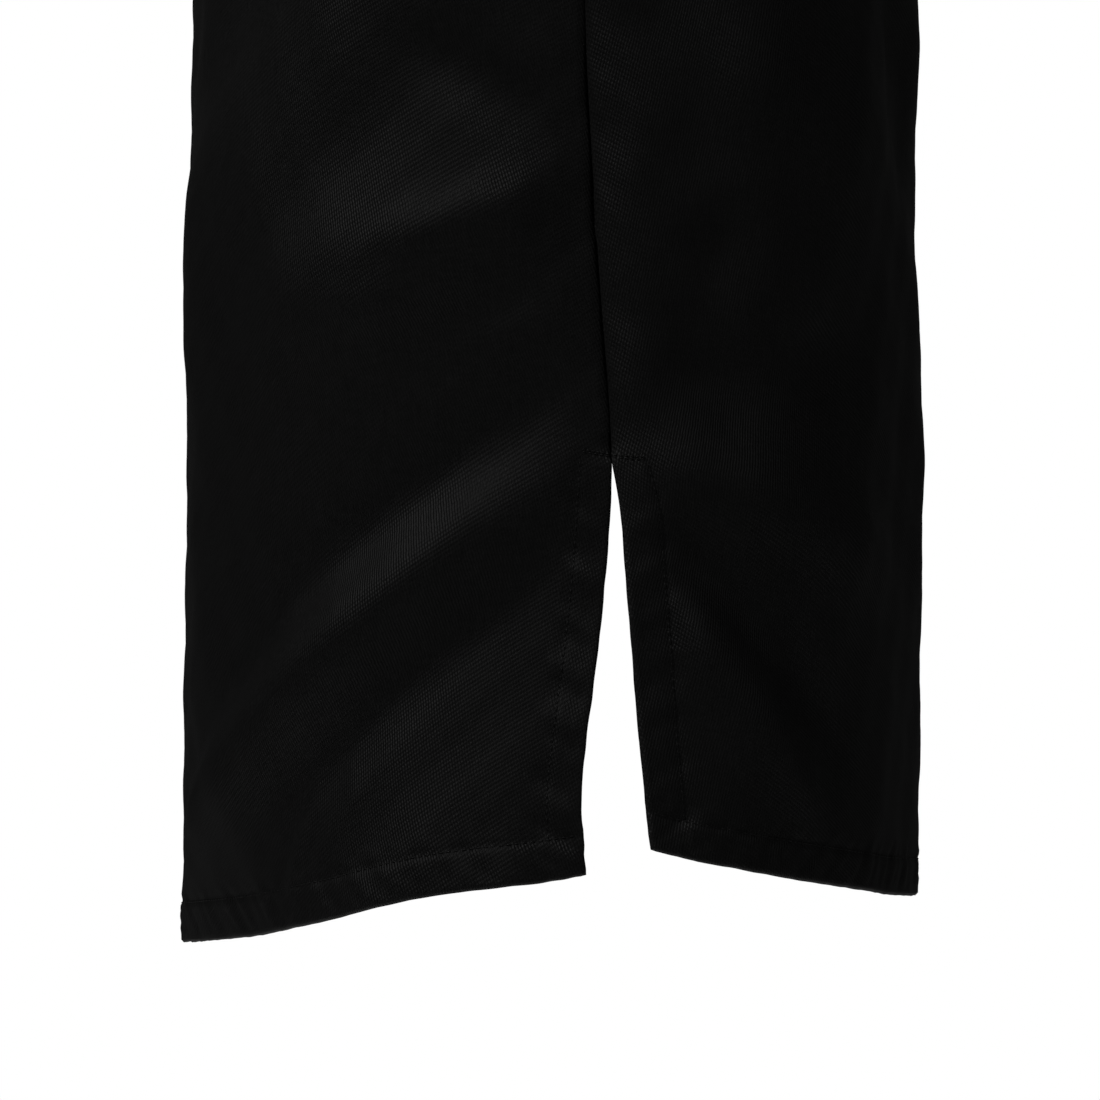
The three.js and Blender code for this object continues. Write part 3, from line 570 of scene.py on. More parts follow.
def fold_height(folds, part, u, w):
    """Height of the folds: for each, a bell across its line, soft at both ends."""
    height = np.zeros(u.shape)
    for fold in folds:
        round_it = (1 - fold.side * u) * HALF_WIDTH[part]
        dx, dy = fold.end[0] - fold.start[0], fold.end[1] - fold.start[1]
        length = math.hypot(dx, dy)
        t = ((round_it - fold.start[0]) * dx + (w - fold.start[1]) * dy) / length**2
        off = ((round_it - fold.start[0]) * dy - (w - fold.start[1]) * dx) / length
        ends = smooth(*FOLD_STARTS, t) * (1 - smooth(*FOLD_STOPS, t))
        height += fold.high * bell(off, fold.wide) * ends
    from_seam = (1 - np.abs(u)) * HALF_WIDTH[part]
    free = VENT_HOLD * smooth(0, VENT_FRONT / 2, VENT_FRONT - w)
    held = np.maximum(smooth(0, SIDE_SEAM_BAND, from_seam), free)
    return height * held * (1 - smooth(TOP_W - FOLD_TOP[0], TOP_W - FOLD_TOP[1], w))


def ripple(a, b, waves):
    """Sum of slanting sine waves over two distances; each wave is (height, length, lean, start)."""
    return sum(
        high * np.sin(2 * math.pi * (a + lean * b) / length + start)
        for high, length, lean, start in waves
    )


def facing_width(part):
    """Width of the vents' facings on the front or the back."""
    sizes = bpy.context.scene.jacket_sizes
    return sizes.vent_front if part == "front" else sizes.vent_back


def turned_in(width, x, edge=TURNED_EDGE):
    """1 on turned-in layers as far as a width, and 0 past their edge."""
    return 1 - smooth(width - edge[0], width + edge[1], x)


def puckered(width, x, end=PUCKERS_END):
    """How strongly the cloth puckers at a distance from an edge that is stitched down at a width."""
    return smooth(0, PUCKERS_START, x) * (1 - smooth(width, width + end, x))


def panel_relief(part, u, w):
    """Low relief of the sewing: the seam's groove, the pressed allowance, turned edges and puckers."""
    sizes, shape = bpy.context.scene.jacket_sizes, RELIEF[part]
    hem, facing = sizes.hem_depth, facing_width(part)
    round_it = u * HALF_WIDTH[part]
    s = (1 - np.abs(u)) * HALF_WIDTH[part]
    closed = smooth(VENT_FRONT - SEAM_ENDS[0], VENT_FRONT + SEAM_ENDS[1], w)
    sewn = closed * (1 - smooth(UNDERARM_W - SEAM_ENDS[1], UNDERARM_W + SEAM_ENDS[1], w))
    vent = 1 - closed
    groove = -sizes.seam_groove * bell(s, GROOVE_WIDTH) * sewn
    sunk = -shape["sink"] * fall(s, shape["sink_width"]) ** SINK_POWER * sewn
    curl = shape["curl"] * fall(s, CURL_WIDTH) * vent * smooth(0, CURL_RISE, VENT_FRONT - w)
    flare = shape["flare"] * fall(s, FLARE_WIDTH) ** FLARE_POWER * smooth(*FLARE_RISE, VENT_FRONT - w)
    layers = sizes.turned_edge * np.maximum(turned_in(hem, w), vent * turned_in(facing, s))
    channel = np.maximum(bell(w - hem, CHANNEL_WIDTH), vent * bell(s - facing, CHANNEL_WIDTH))
    puckers = puckered(hem, w) * ripple(round_it, w, HEM_WAVES)
    puckers += shape["pucker"] * vent * puckered(facing, s) * ripple(w, s, VENT_WAVES)
    near_seam = sewn * smooth(0, SEAM_PUCKERS[0], s) * (1 - smooth(*SEAM_PUCKERS[1:], s))
    puckers += near_seam * ripple(w, s, SEAM_WAVES)
    wander = ripple(round_it, w, CLOTH_WAVES)
    return groove + sunk + curl + flare + layers - CHANNEL_DEPTH * channel + puckers + wander


def steps_to(limits):
    """Distances from 0 in even steps, each stretch with its own step."""
    stops, start = [np.array([0.0])], 0.0
    for stop, step in limits:
        count = max(1, round((stop - start) / step))
        stops.append(np.linspace(start, stop, count + 1)[1:])
        start = stop
    return np.concatenate(stops)


def share_at(x, w):
    """Share at which the front's cloth at a height lies a given distance from the middle."""
    share = overlap_share(w)
    for _ in range(6):
        share *= x / body_grid("front", np.array([[share]]), np.array([float(w)]))[0, 0, 0]
    return share


def dress(part, shares, rows, under=False):
    """A panel's outer face: the bare surface moved out along its normals by folds, layers and relief."""
    turned = 1 if (shares[0, -1] > shares[0, 0]) == (part == "front") else -1
    bare = body_grid(part, shares, rows)
    w = np.broadcast_to(rows[:, None], shares.shape)
    height = fold_height(FOLDS[part] + SMALL_FOLDS[part], part, shares, w) + panel_relief(part, shares, w)
    if under:
        start, stop = OVERLAP_FADE
        in_overlap = 1 - smooth(OVERLAP + start, OVERLAP + stop, np.abs(bare[..., 0]))
        height = height - LAYER_STEP * in_overlap * (1 - smooth(*LAYER_TOP, bare[..., 2]))
    return Surface(bare + grid_normals(bare, turned) * height[..., None], rows, shares, turned)


@lru_cache(maxsize=None)
def surface(name):
    """The outer face of a cut piece, worked out once: a panel, a sleeve or the collar."""
    if name.startswith("sleeve"):
        return sleeve_surface(1 if name.endswith("left") else -1)
    if name == "collar":
        return collar_surface()
    rows = steps_to(ROW_STEPS)
    limits = [(min(stop, HALF_WIDTH["back"]), step) for stop, step in COLUMN_STEPS]
    if name == "back":
        half = 1 - steps_to(limits) / HALF_WIDTH["back"]
        shares = np.concatenate([half, -half[-2::-1]])
        return dress("back", np.tile(shares, (len(rows), 1)), rows)
    side = 1 if name.endswith("left") else -1
    from_centre = 1 - steps_to(COLUMN_STEPS)[::-1] / HALF_WIDTH["front"]
    up = np.maximum(0, (rows - UNDERARM_W) / (TOP_W - UNDERARM_W))
    past = np.minimum(1, (1 - up) / (1 - OVERLAP_TOP)) ** (1 / OVERLAP_SLOPE)
    flap = np.array([share_at(max(OVERLAP * p, OVERLAP_LEAST), w) for p, w in zip(past, rows)])
    beyond = -flap[:, None] * np.linspace(1, 0, OVERLAP_CELLS + 1)[None, :-1]
    shares = np.concatenate([beyond, np.tile(from_centre, (len(rows), 1))], axis=1)
    return dress("front", side * shares, rows, under=side < 0)


def sleeve_surface(side):
    """A sleeve: rings from the armhole to an oval cuff, fuller over the cap, with soft creases.

    A point lies on the straight line from its place on the armhole to its place on the cuff, moved out
    by a half sine along the sleeve. Columns run from the underarm over the front and back to it. The
    first ring is the seam allowance, which turns in under the edge of the armhole.
    """
    turn = np.linspace(0, 2 * math.pi, SLEEVE_COLUMNS)
    up = 1 - np.abs(1 - turn / math.pi)
    front, back = (point_along(ARMHOLE[part], up) for part in ("front", "back"))
    start = np.where((turn <= math.pi)[:, None], front, back)
    out = np.array([math.cos(SLEEVE_DROP), 0, math.sin(SLEEVE_DROP)])
    end = SLEEVE_END - out * (SLEEVE_HALF_WIDTH * np.cos(turn))[:, None]
    end[:, 1] -= SLEEVE_HALF_DEPTH * np.sin(turn)
    coarse, fine = np.linspace(0, SLEEVE_FINE, SLEEVE_RINGS[0]), np.linspace(SLEEVE_FINE, 1, SLEEVE_RINGS[1])
    v = np.concatenate([coarse, fine[1:]])[:, None]
    points = start + (end - start) * v[..., None]
    topness = (1 - np.cos(turn)) / 2  # 1 over the cap and 0 at the underarm
    swell = SLEEVE_CAP * np.sin(math.pi * v) ** 0.8 + SLEEVE_CROWN * topness**2 * np.sin(math.pi * v**0.7)
    crease = SLEEVE_CREASE * np.sin(2 * turn + 9 * v) * np.sin(math.pi * v) ** 2
    crease = crease + np.sin(math.pi * v) * ripple(turn * ARM_RADIUS, v * SLEEVE_LENGTH, SLEEVE_WAVES)
    widening = swell * topness + SLEEVE_UNDER * swell * (1 - topness) ** 2 + crease
    points = points + out * widening[..., None]
    points[..., 1] -= SLEEVE_ASIDE * swell * np.sin(turn)
    points[..., 0] *= side
    length = np.linalg.norm(end - start, axis=1).mean()
    from_hem = (1 - v) * length
    normals = grid_normals(points, -side)
    relief = CUFF_RISE * turned_in(CUFF_DEPTH, from_hem, CUFF_EDGE)
    relief = relief - CHANNEL_DEPTH * bell(from_hem - CUFF_DEPTH, CHANNEL_WIDTH)
    near_hem = puckered(CUFF_DEPTH, from_hem, CUFF_PUCKERS_END)
    relief = relief + near_hem * ripple(turn * CUFF_RADIUS, from_hem, CUFF_WAVES)
    relief = relief - ARMHOLE_GROOVE[0] * bell(v * length, ARMHOLE_GROOVE[1])
    points = points + normals * np.broadcast_to(relief, points.shape[:2])[..., None]
    back = unit(points[0] - points[1])
    tuck = points[0] + back * SLEEVE_TUCK - normals[0] * SLEEVE_TUCK_DEPTH
    points = np.concatenate([tuck[None], points])
    rows = np.concatenate([[-SLEEVE_TUCK], v[:, 0] * length])
    return Surface(points, rows, np.tile(turn / (2 * math.pi), (len(rows), 1)), -side)


def collar_surface():
    """The stand collar: its foot follows the necklines of the three panels, and it leans in.

    The rows rise from the foot; their height is cut by a quarter circle at the two front ends.
    """
    foot, turns = [], []
    for name, part, side in COLLAR_STRETCHES:
        face = surface(name)
        away = np.linspace(0, math.pi / 2, 52)
        if part == "back":
            away = away[::-1]
        shares = side * away * NECK_SHARE[part] / (math.pi / 2)
        order = np.argsort(face.shares[-1])
        turn = away if part == "front" else math.pi - away
        foot.append(on_line(face.shares[-1][order], face.points[-1][order], shares)[::side])
        turns.append((turn if side > 0 else 2 * math.pi - turn)[::side])
    foot, turns = np.concatenate(foot), np.concatenate(turns)
    keep = np.concatenate([[True], np.linalg.norm(np.diff(foot, axis=0), axis=1) > 0.05])
    foot, turns = foot[keep], turns[keep]
    run = running_length(foot)
    last = run[-1]
    even = np.concatenate([
        np.linspace(COLLAR_END, COLLAR_FINE, 14)[:-1],
        np.linspace(COLLAR_FINE, last - COLLAR_FINE, 170),
        np.linspace(last - COLLAR_FINE, last - COLLAR_END, 14)[1:],
    ])
    foot = on_line(run, foot, even)
    nearby = even[:, None] + np.linspace(-COLLAR_EVENED, COLLAR_EVENED, 15)
    level = np.interp(nearby, even, foot[:, 2]).mean(axis=1)
    turns = np.interp(even, run, turns)
    inwards = -COLLAR_LEAN["sides"] * np.sin(turns)
    forwards = -COLLAR_LEAN["back"] + COLLAR_LEAN["less"] * ((1 + np.cos(turns)) / 2)
    lean = unit(np.stack([inwards, forwards, np.ones_like(turns)], axis=-1))
    from_end = np.minimum(even - even[0], even[-1] - even)
    short = np.maximum(0, COLLAR_ROUND - from_end)
    cut = COLLAR_ROUND - np.sqrt(np.maximum(0, COLLAR_ROUND**2 - short**2))
    rise = steps_to(COLLAR_STEPS) / COLLAR_HEIGHT
    height = (COLLAR_HEIGHT - cut)[None, :] * rise[:, None]
    points = foot[None] + lean[None] * (COLLAR_GAP + height)[..., None]
    points[..., 2] += rise[:, None] * smooth(*COLLAR_LEVEL, from_end) * (level - foot[:, 2])
    relief = COLLAR_CREASE * ripple(even[None, :], height, COLLAR_WAVES)
    relief = relief * smooth(*COLLAR_CREASED, height) - COLLAR_GROOVE[0] * bell(height, COLLAR_GROOVE[1])
    points = points + grid_normals(points, 1) * relief[..., None]
    return Surface(points, rise * COLLAR_HEIGHT, np.tile(even / even[-1], (len(rise), 1)), 1)


def new_mesh(name, points, quads, tris=NO_TRIS, uv=None, wear=None):
    """A smooth-shaded mesh from arrays of points, in millimetres, and of quads and triangles."""
    mesh = bpy.data.meshes.new(name)
    mesh.vertices.add(len(points))
    mesh.vertices.foreach_set("co", (points * MM).astype(np.float32).ravel())
    corners = np.concatenate([quads.ravel(), tris.ravel()]).astype(np.int32)
    mesh.loops.add(len(corners))
    mesh.loops.foreach_set("vertex_index", corners)
    starts = np.concatenate([np.arange(len(quads)) * 4, quads.size + np.arange(len(tris)) * 3])
    mesh.polygons.add(len(starts))
    mesh.polygons.foreach_set("loop_start", starts.astype(np.int32))
    mesh.update(calc_edges=True)
    mesh.validate()
    mesh.polygons.foreach_set("use_smooth", np.ones(len(mesh.polygons), dtype=bool))
    if uv is not None:
        layer = mesh.uv_layers.new(name="cut")
        corner = np.empty(len(mesh.loops), dtype=np.int32)
        mesh.loops.foreach_get("vertex_index", corner)
        layer.data.foreach_set("uv", (uv[corner] * MM).astype(np.float32).ravel())
    if wear is not None:
        attribute = mesh.attributes.new("wear", "FLOAT", "POINT")
        attribute.data.foreach_set("value", wear.astype(np.float32))
    return mesh


def grid_quads(rows, columns, first=0, turned=1):
    """Quads of a grid of points that are numbered row by row."""
    r, c = np.meshgrid(np.arange(rows - 1), np.arange(columns - 1), indexing="ij")
    a = first + r * columns + c
    quads = np.stack([a, a + 1, a + columns + 1, a + columns], axis=-1).reshape(-1, 4)
    return quads if turned > 0 else quads[:, ::-1]


def wall_mesh(name, face, thick, uv, bulge):
    """A closed wall of cloth: the outer face, an inner face a thickness behind it, and a rounded rim.

    The rim runs round the grid's border through a middle line that stands out by bulge thicknesses.
    """
    rows, columns = face.points.shape[:2]
    count = rows * columns
    flat = face.points.reshape(-1, 3)
    flat_inner = (face.points - grid_normals(face.points, face.turned) * thick[..., None]).reshape(-1, 3)
    index = np.arange(count).reshape(rows, columns)
    border = np.concatenate([index[0], index[1:, -1], index[-1, -2::-1], index[-2:0:-1, 0]])
    row, column = np.divmod(border, columns)
    near = index[np.clip(row, 1, rows - 2), np.clip(column, 1, columns - 2)]
    away = unit(flat[border] - flat[near])
    out = bulge.ravel()[border] * thick.ravel()[border]
    middle = (flat[border] + flat_inner[border]) / 2 + away * out[:, None]
    after = np.roll(border, -1)
    rim = 2 * count + np.arange(len(border))
    rim_after = np.roll(rim, -1)
    strips = np.concatenate([
        np.stack([after, border, rim, rim_after], axis=-1),
        np.stack([rim_after, rim, border + count, after + count], axis=-1),
    ])
    quads = np.concatenate([
        grid_quads(rows, columns, 0, face.turned),
        grid_quads(rows, columns, count, -face.turned),
        strips if face.turned > 0 else strips[:, ::-1],
    ])
    uv = uv.reshape(-1, 2)
    wear = np.zeros(count)
    wear[border] = 0.5
    points = np.concatenate([flat, flat_inner, middle])
    wear = np.concatenate([wear, wear, np.ones(len(border))])
    return new_mesh(name, points, quads, uv=np.concatenate([uv, uv, uv[border]]), wear=wear)


def add_piece(name, mesh, material, replaces=()):
    """Puts a finished piece into the scene, on the jacket's one body."""
    mesh.materials.append(material)
    piece = bpy.data.objects.new(name, mesh)
    bpy.context.scene.collection.objects.link(piece)
    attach(piece, "root")
    if replaces:
        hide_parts(*replaces)
    return piece


def linear(colour):
    """A colour given as sRGB hex, as linear RGBA."""
    channels = [int(colour[i : i + 2], 16) / 255 for i in (1, 3, 5)]
    return (*[c / 12.92 if c <= 0.04045 else ((c + 0.055) / 1.055) ** 2.4 for c in channels], 1)


def add_node(tree, kind, inputs=None, **settings):
    """Adds a node with its settings. An input is a value, or a socket to link from."""
    node = tree.nodes.new(kind)
    for key, value in settings.items():
        setattr(node, key, value)
    for key, value in (inputs or {}).items():
        if isinstance(value, bpy.types.NodeSocket):
            tree.links.new(value, node.inputs[key])
        else:
            node.inputs[key].default_value = value
    return node


def noise(tree, place, scale, detail, roughness=0.5):
    """Cloudy noise between 0 and 1."""
    inputs = {"Vector": place, "Scale": scale, "Detail": detail, "Roughness": roughness}
    return add_node(tree, "ShaderNodeTexNoise", inputs).outputs["Fac"]


def calculate(tree, operation, *values):
    """The result of a sum, product, sine or the like."""
    return add_node(tree, "ShaderNodeMath", dict(enumerate(values)), operation=operation).outputs[0]


def dot(tree, place, direction):
    """How far a place lies along a direction."""
    node = add_node(tree, "ShaderNodeVectorMath", {0: place, 1: direction}, operation="DOT_PRODUCT")
    return node.outputs["Value"]


def spread(tree, value, start, end):
    """A value carried over from one range to another, each given as its two ends."""
    ends = dict(zip(("From Min", "From Max", "To Min", "To Max"), (*start, *end)))
    return add_node(tree, "ShaderNodeMapRange", {"Value": value, **ends}).outputs["Result"]


def blend(tree, factor, first, second, mode="MIX"):
    """A blend of two colours, which a Mix node takes at its inputs 6 and 7 and gives at its output 2."""
    inputs = {0: factor, 6: first, 7: second}
    return add_node(tree, "ShaderNodeMix", inputs, data_type="RGBA", blend_type=mode).outputs[2]


def bump(tree, height, strength, distance):
    """The normal of a face with a fine relief; the distance is in metres."""
    inputs = {"Height": height, "Strength": strength, "Distance": distance}
    return add_node(tree, "ShaderNodeBump", inputs).outputs["Normal"]


def object_place(tree):
    """Place on the object, in metres."""
    return add_node(tree, "ShaderNodeTexCoord").outputs["Object"]


def new_material(name):
    """An empty node material and its tree."""
    material = bpy.data.materials.new(name)
    material.use_nodes = True
    material.node_tree.nodes.clear()
    return material, material.node_tree


def add_shader(tree, inputs):
    """Adds a material's shader with its inputs, and its output."""
    shader = add_node(tree, "ShaderNodeBsdfPrincipled", inputs)
    add_node(tree, "ShaderNodeOutputMaterial", {"Surface": shader.outputs["BSDF"]})


@lru_cache(maxsize=None)
def cotton_twill():
    """Black cotton-blend twill, piece-dyed and pressed: steep fine ribs, a dull face, a faint sheen.

    A real rib is 0.7 mm wide. It is drawn a little coarser, so that the ribs show in the render. The valleys
    between the ribs are painted darker than their tops, as painted shade.
    """
    sizes, colours = bpy.context.scene.jacket_sizes, bpy.context.scene.jacket_colours
    material, tree = new_material("cotton_twill")
    cut = add_node(tree, "ShaderNodeUVMap", uv_map="cut").outputs["UV"]
    pitch = sizes.twill_rib * MM
    slub = noise(tree, cut, scale=420, detail=2, roughness=0.6)
    across = dot(tree, cut, (1 / pitch, sizes.twill_lean / pitch, 0))
    wobble = calculate(tree, "MULTIPLY_ADD", slub, RIB_WANDER, across)
    rib = calculate(tree, "SINE", calculate(tree, "MULTIPLY", wobble, 2 * math.pi))
    weft = dot(tree, cut, (WEFT[0] * 2 * math.pi / pitch, WEFT[1] * 2 * math.pi / pitch, 0))
    height = calculate(tree, "MULTIPLY_ADD", calculate(tree, "SINE", weft), WEFT_HEIGHT, rib)
    level = spread(tree, height, (-1.3, 1.4), (0, 1))
    # painted shade: the valleys between the ribs are painted darker than the rib tops
    ribs = blend(tree, level, linear(colours.cloth_valley_shade), linear(colours.cloth))
    mottled = spread(tree, noise(tree, cut, scale=9, detail=3), (0.3, 0.7), (0.88, 1.1))
    yarns = []
    for stretch in YARN_STREAKS:
        place = add_node(tree, "ShaderNodeVectorMath", {0: cut, 1: stretch}, operation="MULTIPLY")
        streak = noise(tree, place.outputs["Vector"], scale=1, detail=2, roughness=0.7)
        yarns.append(spread(tree, streak, (0.3, 0.7), (0.7, 1.3)))
    uneven = calculate(tree, "MULTIPLY", mottled, calculate(tree, "MULTIPLY", *yarns))
    # the rib colour mixed in here still carries the painted shade of the valleys
    dyed = blend(tree, 1.0, ribs, uneven, "MULTIPLY")
    wear = add_node(tree, "ShaderNodeAttribute", attribute_name="wear").outputs["Fac"]
    worn = blend(tree, calculate(tree, "MULTIPLY", wear, slub), dyed, linear(colours.cloth_worn))
    add_shader(tree, {
        "Base Color": worn,
        "Normal": bump(tree, level, strength=0.8, distance=0.00025),
        "Roughness": 0.55,
        "IOR": 1.5,
        "Specular IOR Level": 0.1,
        "Sheen Weight": 0.003,
        "Sheen Roughness": 0.45,
    })
    return material


@lru_cache(maxsize=None)
def spun_thread():
    """Black spun polyester sewing thread: two twisted plies, with painted shade between them that gives a
    fine slanting stripe.
    """
    colours = bpy.context.scene.jacket_colours
    material, tree = new_material("spun_thread")
    inputs = {"Vector": object_place(tree), "Scale": 900, "Distortion": 2.0}
    twist = add_node(tree, "ShaderNodeTexWave", inputs, bands_direction="DIAGONAL").outputs["Fac"]
    add_shader(tree, {
        # painted shade: a darker colour between the twisted plies
        "Base Color": blend(tree, twist, linear(colours.thread_valley_shade), linear(colours.thread)),
        "Normal": bump(tree, twist, strength=0.3, distance=0.0001),
        "Roughness": 0.5,
        "Specular IOR Level": 0.12,
    })
    return material


@lru_cache(maxsize=None)
def moulded_button():
    """Black polyester casting resin, turned and tumbled: a soft gloss with a faint clouding."""
    colours = bpy.context.scene.jacket_colours
    material, tree = new_material("moulded_button")
    cloud = noise(tree, object_place(tree), scale=350, detail=4)
    add_shader(tree, {
        "Base Color": blend(tree, cloud, linear(colours.button), linear(colours.button_cloud)),
        "Normal": bump(tree, cloud, strength=0.08, distance=0.0002),
        "Roughness": spread(tree, cloud, (0.3, 0.7), (0.22, 0.36)),
        "IOR": 1.53,
    })
    return material


def sample(face, rows, columns):
    """Points and normals of a face at places between its rows and columns, given by their numbers."""
    normals = grid_normals(face.points, face.turned)
    rows, columns = np.broadcast_arrays(np.asarray(rows, float), np.asarray(columns, float))
    r = np.clip(rows.astype(int), 0, face.points.shape[0] - 2)
    c = np.clip(columns.astype(int), 0, face.points.shape[1] - 2)
    s, t = (rows - r)[..., None], (columns - c)[..., None]
    both = np.concatenate([face.points, normals], axis=-1)
    below, above = (both[row, c] * (1 - t) + both[row, c + 1] * t for row in (r, r + 1))
    mixed = below * (1 - s) + above * s
    return mixed[..., :3], mixed[..., 3:]


def row_at(face, w):
    """Row number at a height on a face."""
    return np.interp(w, face.rows, np.arange(len(face.rows)))


def column_at(face, share, row=0):
    """Column number at a share on a face, in one of its rows."""
    shares = face.shares[row]
    order = np.argsort(shares)
    return np.interp(share, shares[order], np.arange(len(shares))[order])


def from_side(face, part, side, distance):
    """Column number at a distance from a panel's side seam."""
    return column_at(face, side * (1 - distance / HALF_WIDTH[part]))


def panel_sides():
    """Each panel's name, face and part, once for every side seam that it has."""
    for name, (part, sides) in PANELS.items():
        for side in sides:
            yield name, surface(name), part, side


def stitch_mesh(name, lines, length=None, thick=THREAD):
    """A row of stitches along each line: short rounded threads that dip into the cloth at both ends.

    Stitches sit at equal steps of running length. Each is a tube of rings across the line, whose
    radius and lift fall off towards its ends.
    """
    period = length or bpy.context.scene.jacket_sizes.stitch_length
    reach = STITCH_COVER / 2 * period
    stitches = []
    for points, normals in lines:
        run = running_length(points)
        count = max(1, int(run[-1] / period))
        middle = (np.arange(count) + 0.5) * run[-1] / count
        before, place, after = (on_line(run, points, middle + shift) for shift in (-reach, 0, reach))
        normal = unit(on_line(run, normals, middle))
        forward = unit(after - before)
        sideways = np.cross(normal, forward)
        stitches.append(np.stack([place, normal, forward * period * STITCH_COVER, sideways], axis=1))
    stitches = np.concatenate(stitches)
    turn = 2 * math.pi * np.arange(STITCH_SIDES) / STITCH_SIDES
    t = STITCH_RINGS[:, None]
    radius = thick * np.sqrt(np.maximum(STITCH_TIP, 1 - (2 * t) ** 4))
    lift = STITCH_LIFT - STITCH_DIP * (2 * np.abs(t)) ** 4
    up = radius * STITCH_FLATNESS * np.sin(turn) + lift
    shape = np.stack(np.broadcast_arrays(1.0, up, t, radius * np.cos(turn)), axis=-1).reshape(-1, 4)
    points = np.einsum("pk,nkd->npd", shape, stitches).reshape(-1, 3)
    ring = np.arange(len(shape)).reshape(len(STITCH_RINGS), STITCH_SIDES)
    wrapped = np.concatenate([ring, ring[:, :1]], axis=1)
    tube = np.stack([wrapped[:-1, :-1], wrapped[:-1, 1:], wrapped[1:, 1:], wrapped[1:, :-1]], axis=-1)
    caps = np.stack([ring[0, ::-1], ring[-1]])
    quads = np.concatenate([tube.reshape(-1, 4), caps[:, :4]])
    tris = caps[:, [0, 3, 4]]
    first = np.arange(len(stitches))[:, None, None] * len(shape)
    return new_mesh(name, points, (quads + first).reshape(-1, 4), (tris + first).reshape(-1, 3))


def by_row(face, values):
    """Values of a face's rows, repeated for its columns."""
    return np.broadcast_to(values[:, None], face.shares.shape)


def build_panel(name):
    """Makes one front or the back as a closed wall of cloth, thicker in the turned hem and facings."""
    part, _ = PANELS[name]
    face = surface(name)
    round_it, w = face.shares * HALF_WIDTH[part], by_row(face, face.rows)
    s = (1 - np.abs(face.shares)) * HALF_WIDTH[part]
    in_vent = (w < VENT_FRONT) & (s < facing_width(part))
    turned = (w < bpy.context.scene.jacket_sizes.hem_depth) | in_vent
    free_edge = (part == "front") & (np.abs(face.shares) < FREE_EDGE_SHARE)
    bulge = EDGE_BULGE * np.maximum(smooth(0, RIM_FADE, VENT_FRONT - w), free_edge)
    uv = np.stack([round_it, w], axis=-1)
    mesh = wall_mesh(name + "_cloth", face, np.where(turned, HEM_CLOTH, CLOTH), uv, bulge)
    add_piece(name + "_cloth", mesh, cotton_twill(), (name,))


def allowance_mesh(name, face, edge, inside):
    """A seam allowance inside the garment: a strip that bridges a seam and lies behind the panel.

    edge and inside are the row and column numbers of its two long sides on the panel's face. The strip
    runs a third further past the edge and lies deeper there. Under the ridge of a shoulder it bends down.
    """
    near, normal = sample(face, *edge)
    far, _ = sample(face, *inside)
    across = np.array(ALLOWANCE_RIDGE if "_shoulder_" in name else ALLOWANCE_FLAT)
    t, depth = across[None, :, :1], across[None, :, 1:]
    points = near[:, None] + (far - near)[:, None] * t - normal[:, None] * depth
    outward = np.cross(np.gradient(points, axis=1), np.gradient(points, axis=0))
    turned = 1 if (outward * normal[:, None]).sum() > 0 else -1
    uv = np.stack(np.broadcast_arrays(t[..., 0] * ALLOWANCE, running_length(near)[:, None]), axis=-1)
    thick, bulge = (np.full(points.shape[:2], value) for value in (ALLOWANCE_CLOTH, ALLOWANCE_BULGE))
    return wall_mesh(name, Surface(points, None, None, turned), thick, uv, bulge)


def allowance_places():
    """Each seam allowance: its name, its panel's face, and where its long sides lie on it."""
    for name, face, part, side in panel_sides():
        last, word = len(face.rows) - 1, SIDE_NAMES[side]
        edge, inside = (from_side(face, part, side, distance) for distance in (0, ALLOWANCE))
        for kind, low, high in ALLOWANCE_HEIGHTS:
            rows = row_at(face, np.linspace(low, high, 120))
            yield f"{name}_{kind}_{word}", face, (rows, edge), (rows, inside)
        along_top = [("neck", 0.02, NECK_SHARE[part])]
        if part == "back":
            along_top.insert(0, ("shoulder", NECK_SHARE[part], SHOULDER_END))
        for kind, low, high in along_top:
            columns = column_at(face, side * np.linspace(low, high, 90), last)
            yield f"{name}_{kind}_{word}", face, (last, columns), (last - ALLOWANCE_ROWS[kind], columns)


class JacketSizes(bpy.types.PropertyGroup):
    """Sizes of the sewing, in millimetres."""

    stitch_length: FloatProperty(
        name="Stitch length", description="Length of one stitch and its gap", default=2.56, min=1.5, max=5
    )
    hem_depth: FloatProperty(
        name="Hem depth", description="Height of the hem's stitching", default=12.2, min=6, max=40
    )
    vent_front: FloatProperty(
        name="Front vent facing", description="Width of the front's vent facing", default=10, min=6, max=40
    )
    vent_back: FloatProperty(
        name="Back vent facing", description="Width of the back's vent facing", default=12, min=6, max=40
    )
    turned_edge: FloatProperty(
        name="Turned edge", description="Rise of the turned-in layers", default=0.5, min=0, max=2
    )
    seam_groove: FloatProperty(
        name="Seam groove", description="Depth of the side seam's groove", default=1.1, min=0, max=3
    )
    twill_rib: FloatProperty(
        name="Twill rib", description="Width of one rib, across the cloth", default=0.95, min=0.3, max=3
    )
    twill_lean: FloatProperty(
        name="Twill lean", description="Sideways run of a rib for its height", default=0.3, min=-2, max=2
    )


class JacketColours(bpy.types.PropertyGroup):
    """Colours, as sRGB hex values."""

    cloth: StringProperty(name="Cloth", description="Face of the twill's ribs", default="#101010")
    # painted shade: the darker colour of the valleys between the twill's ribs
    cloth_valley_shade: StringProperty(name="Cloth valleys", description="Between the ribs", default="#050505")
    cloth_worn: StringProperty(name="Rubbed edges", description="Folded edges that rub", default="#1a1a1a")
    thread: StringProperty(name="Thread", description="Topstitching thread", default="#0d0d0d")
    # painted shade between the plies of the thread
    thread_valley_shade: StringProperty(name="Thread valleys", description="Between the plies", default="#040404")
    button: StringProperty(name="Button", description="Resin of the buttons", default="#090909")
    button_cloud: StringProperty(name="Button cloud", description="Clouds in the resin", default="#101010")


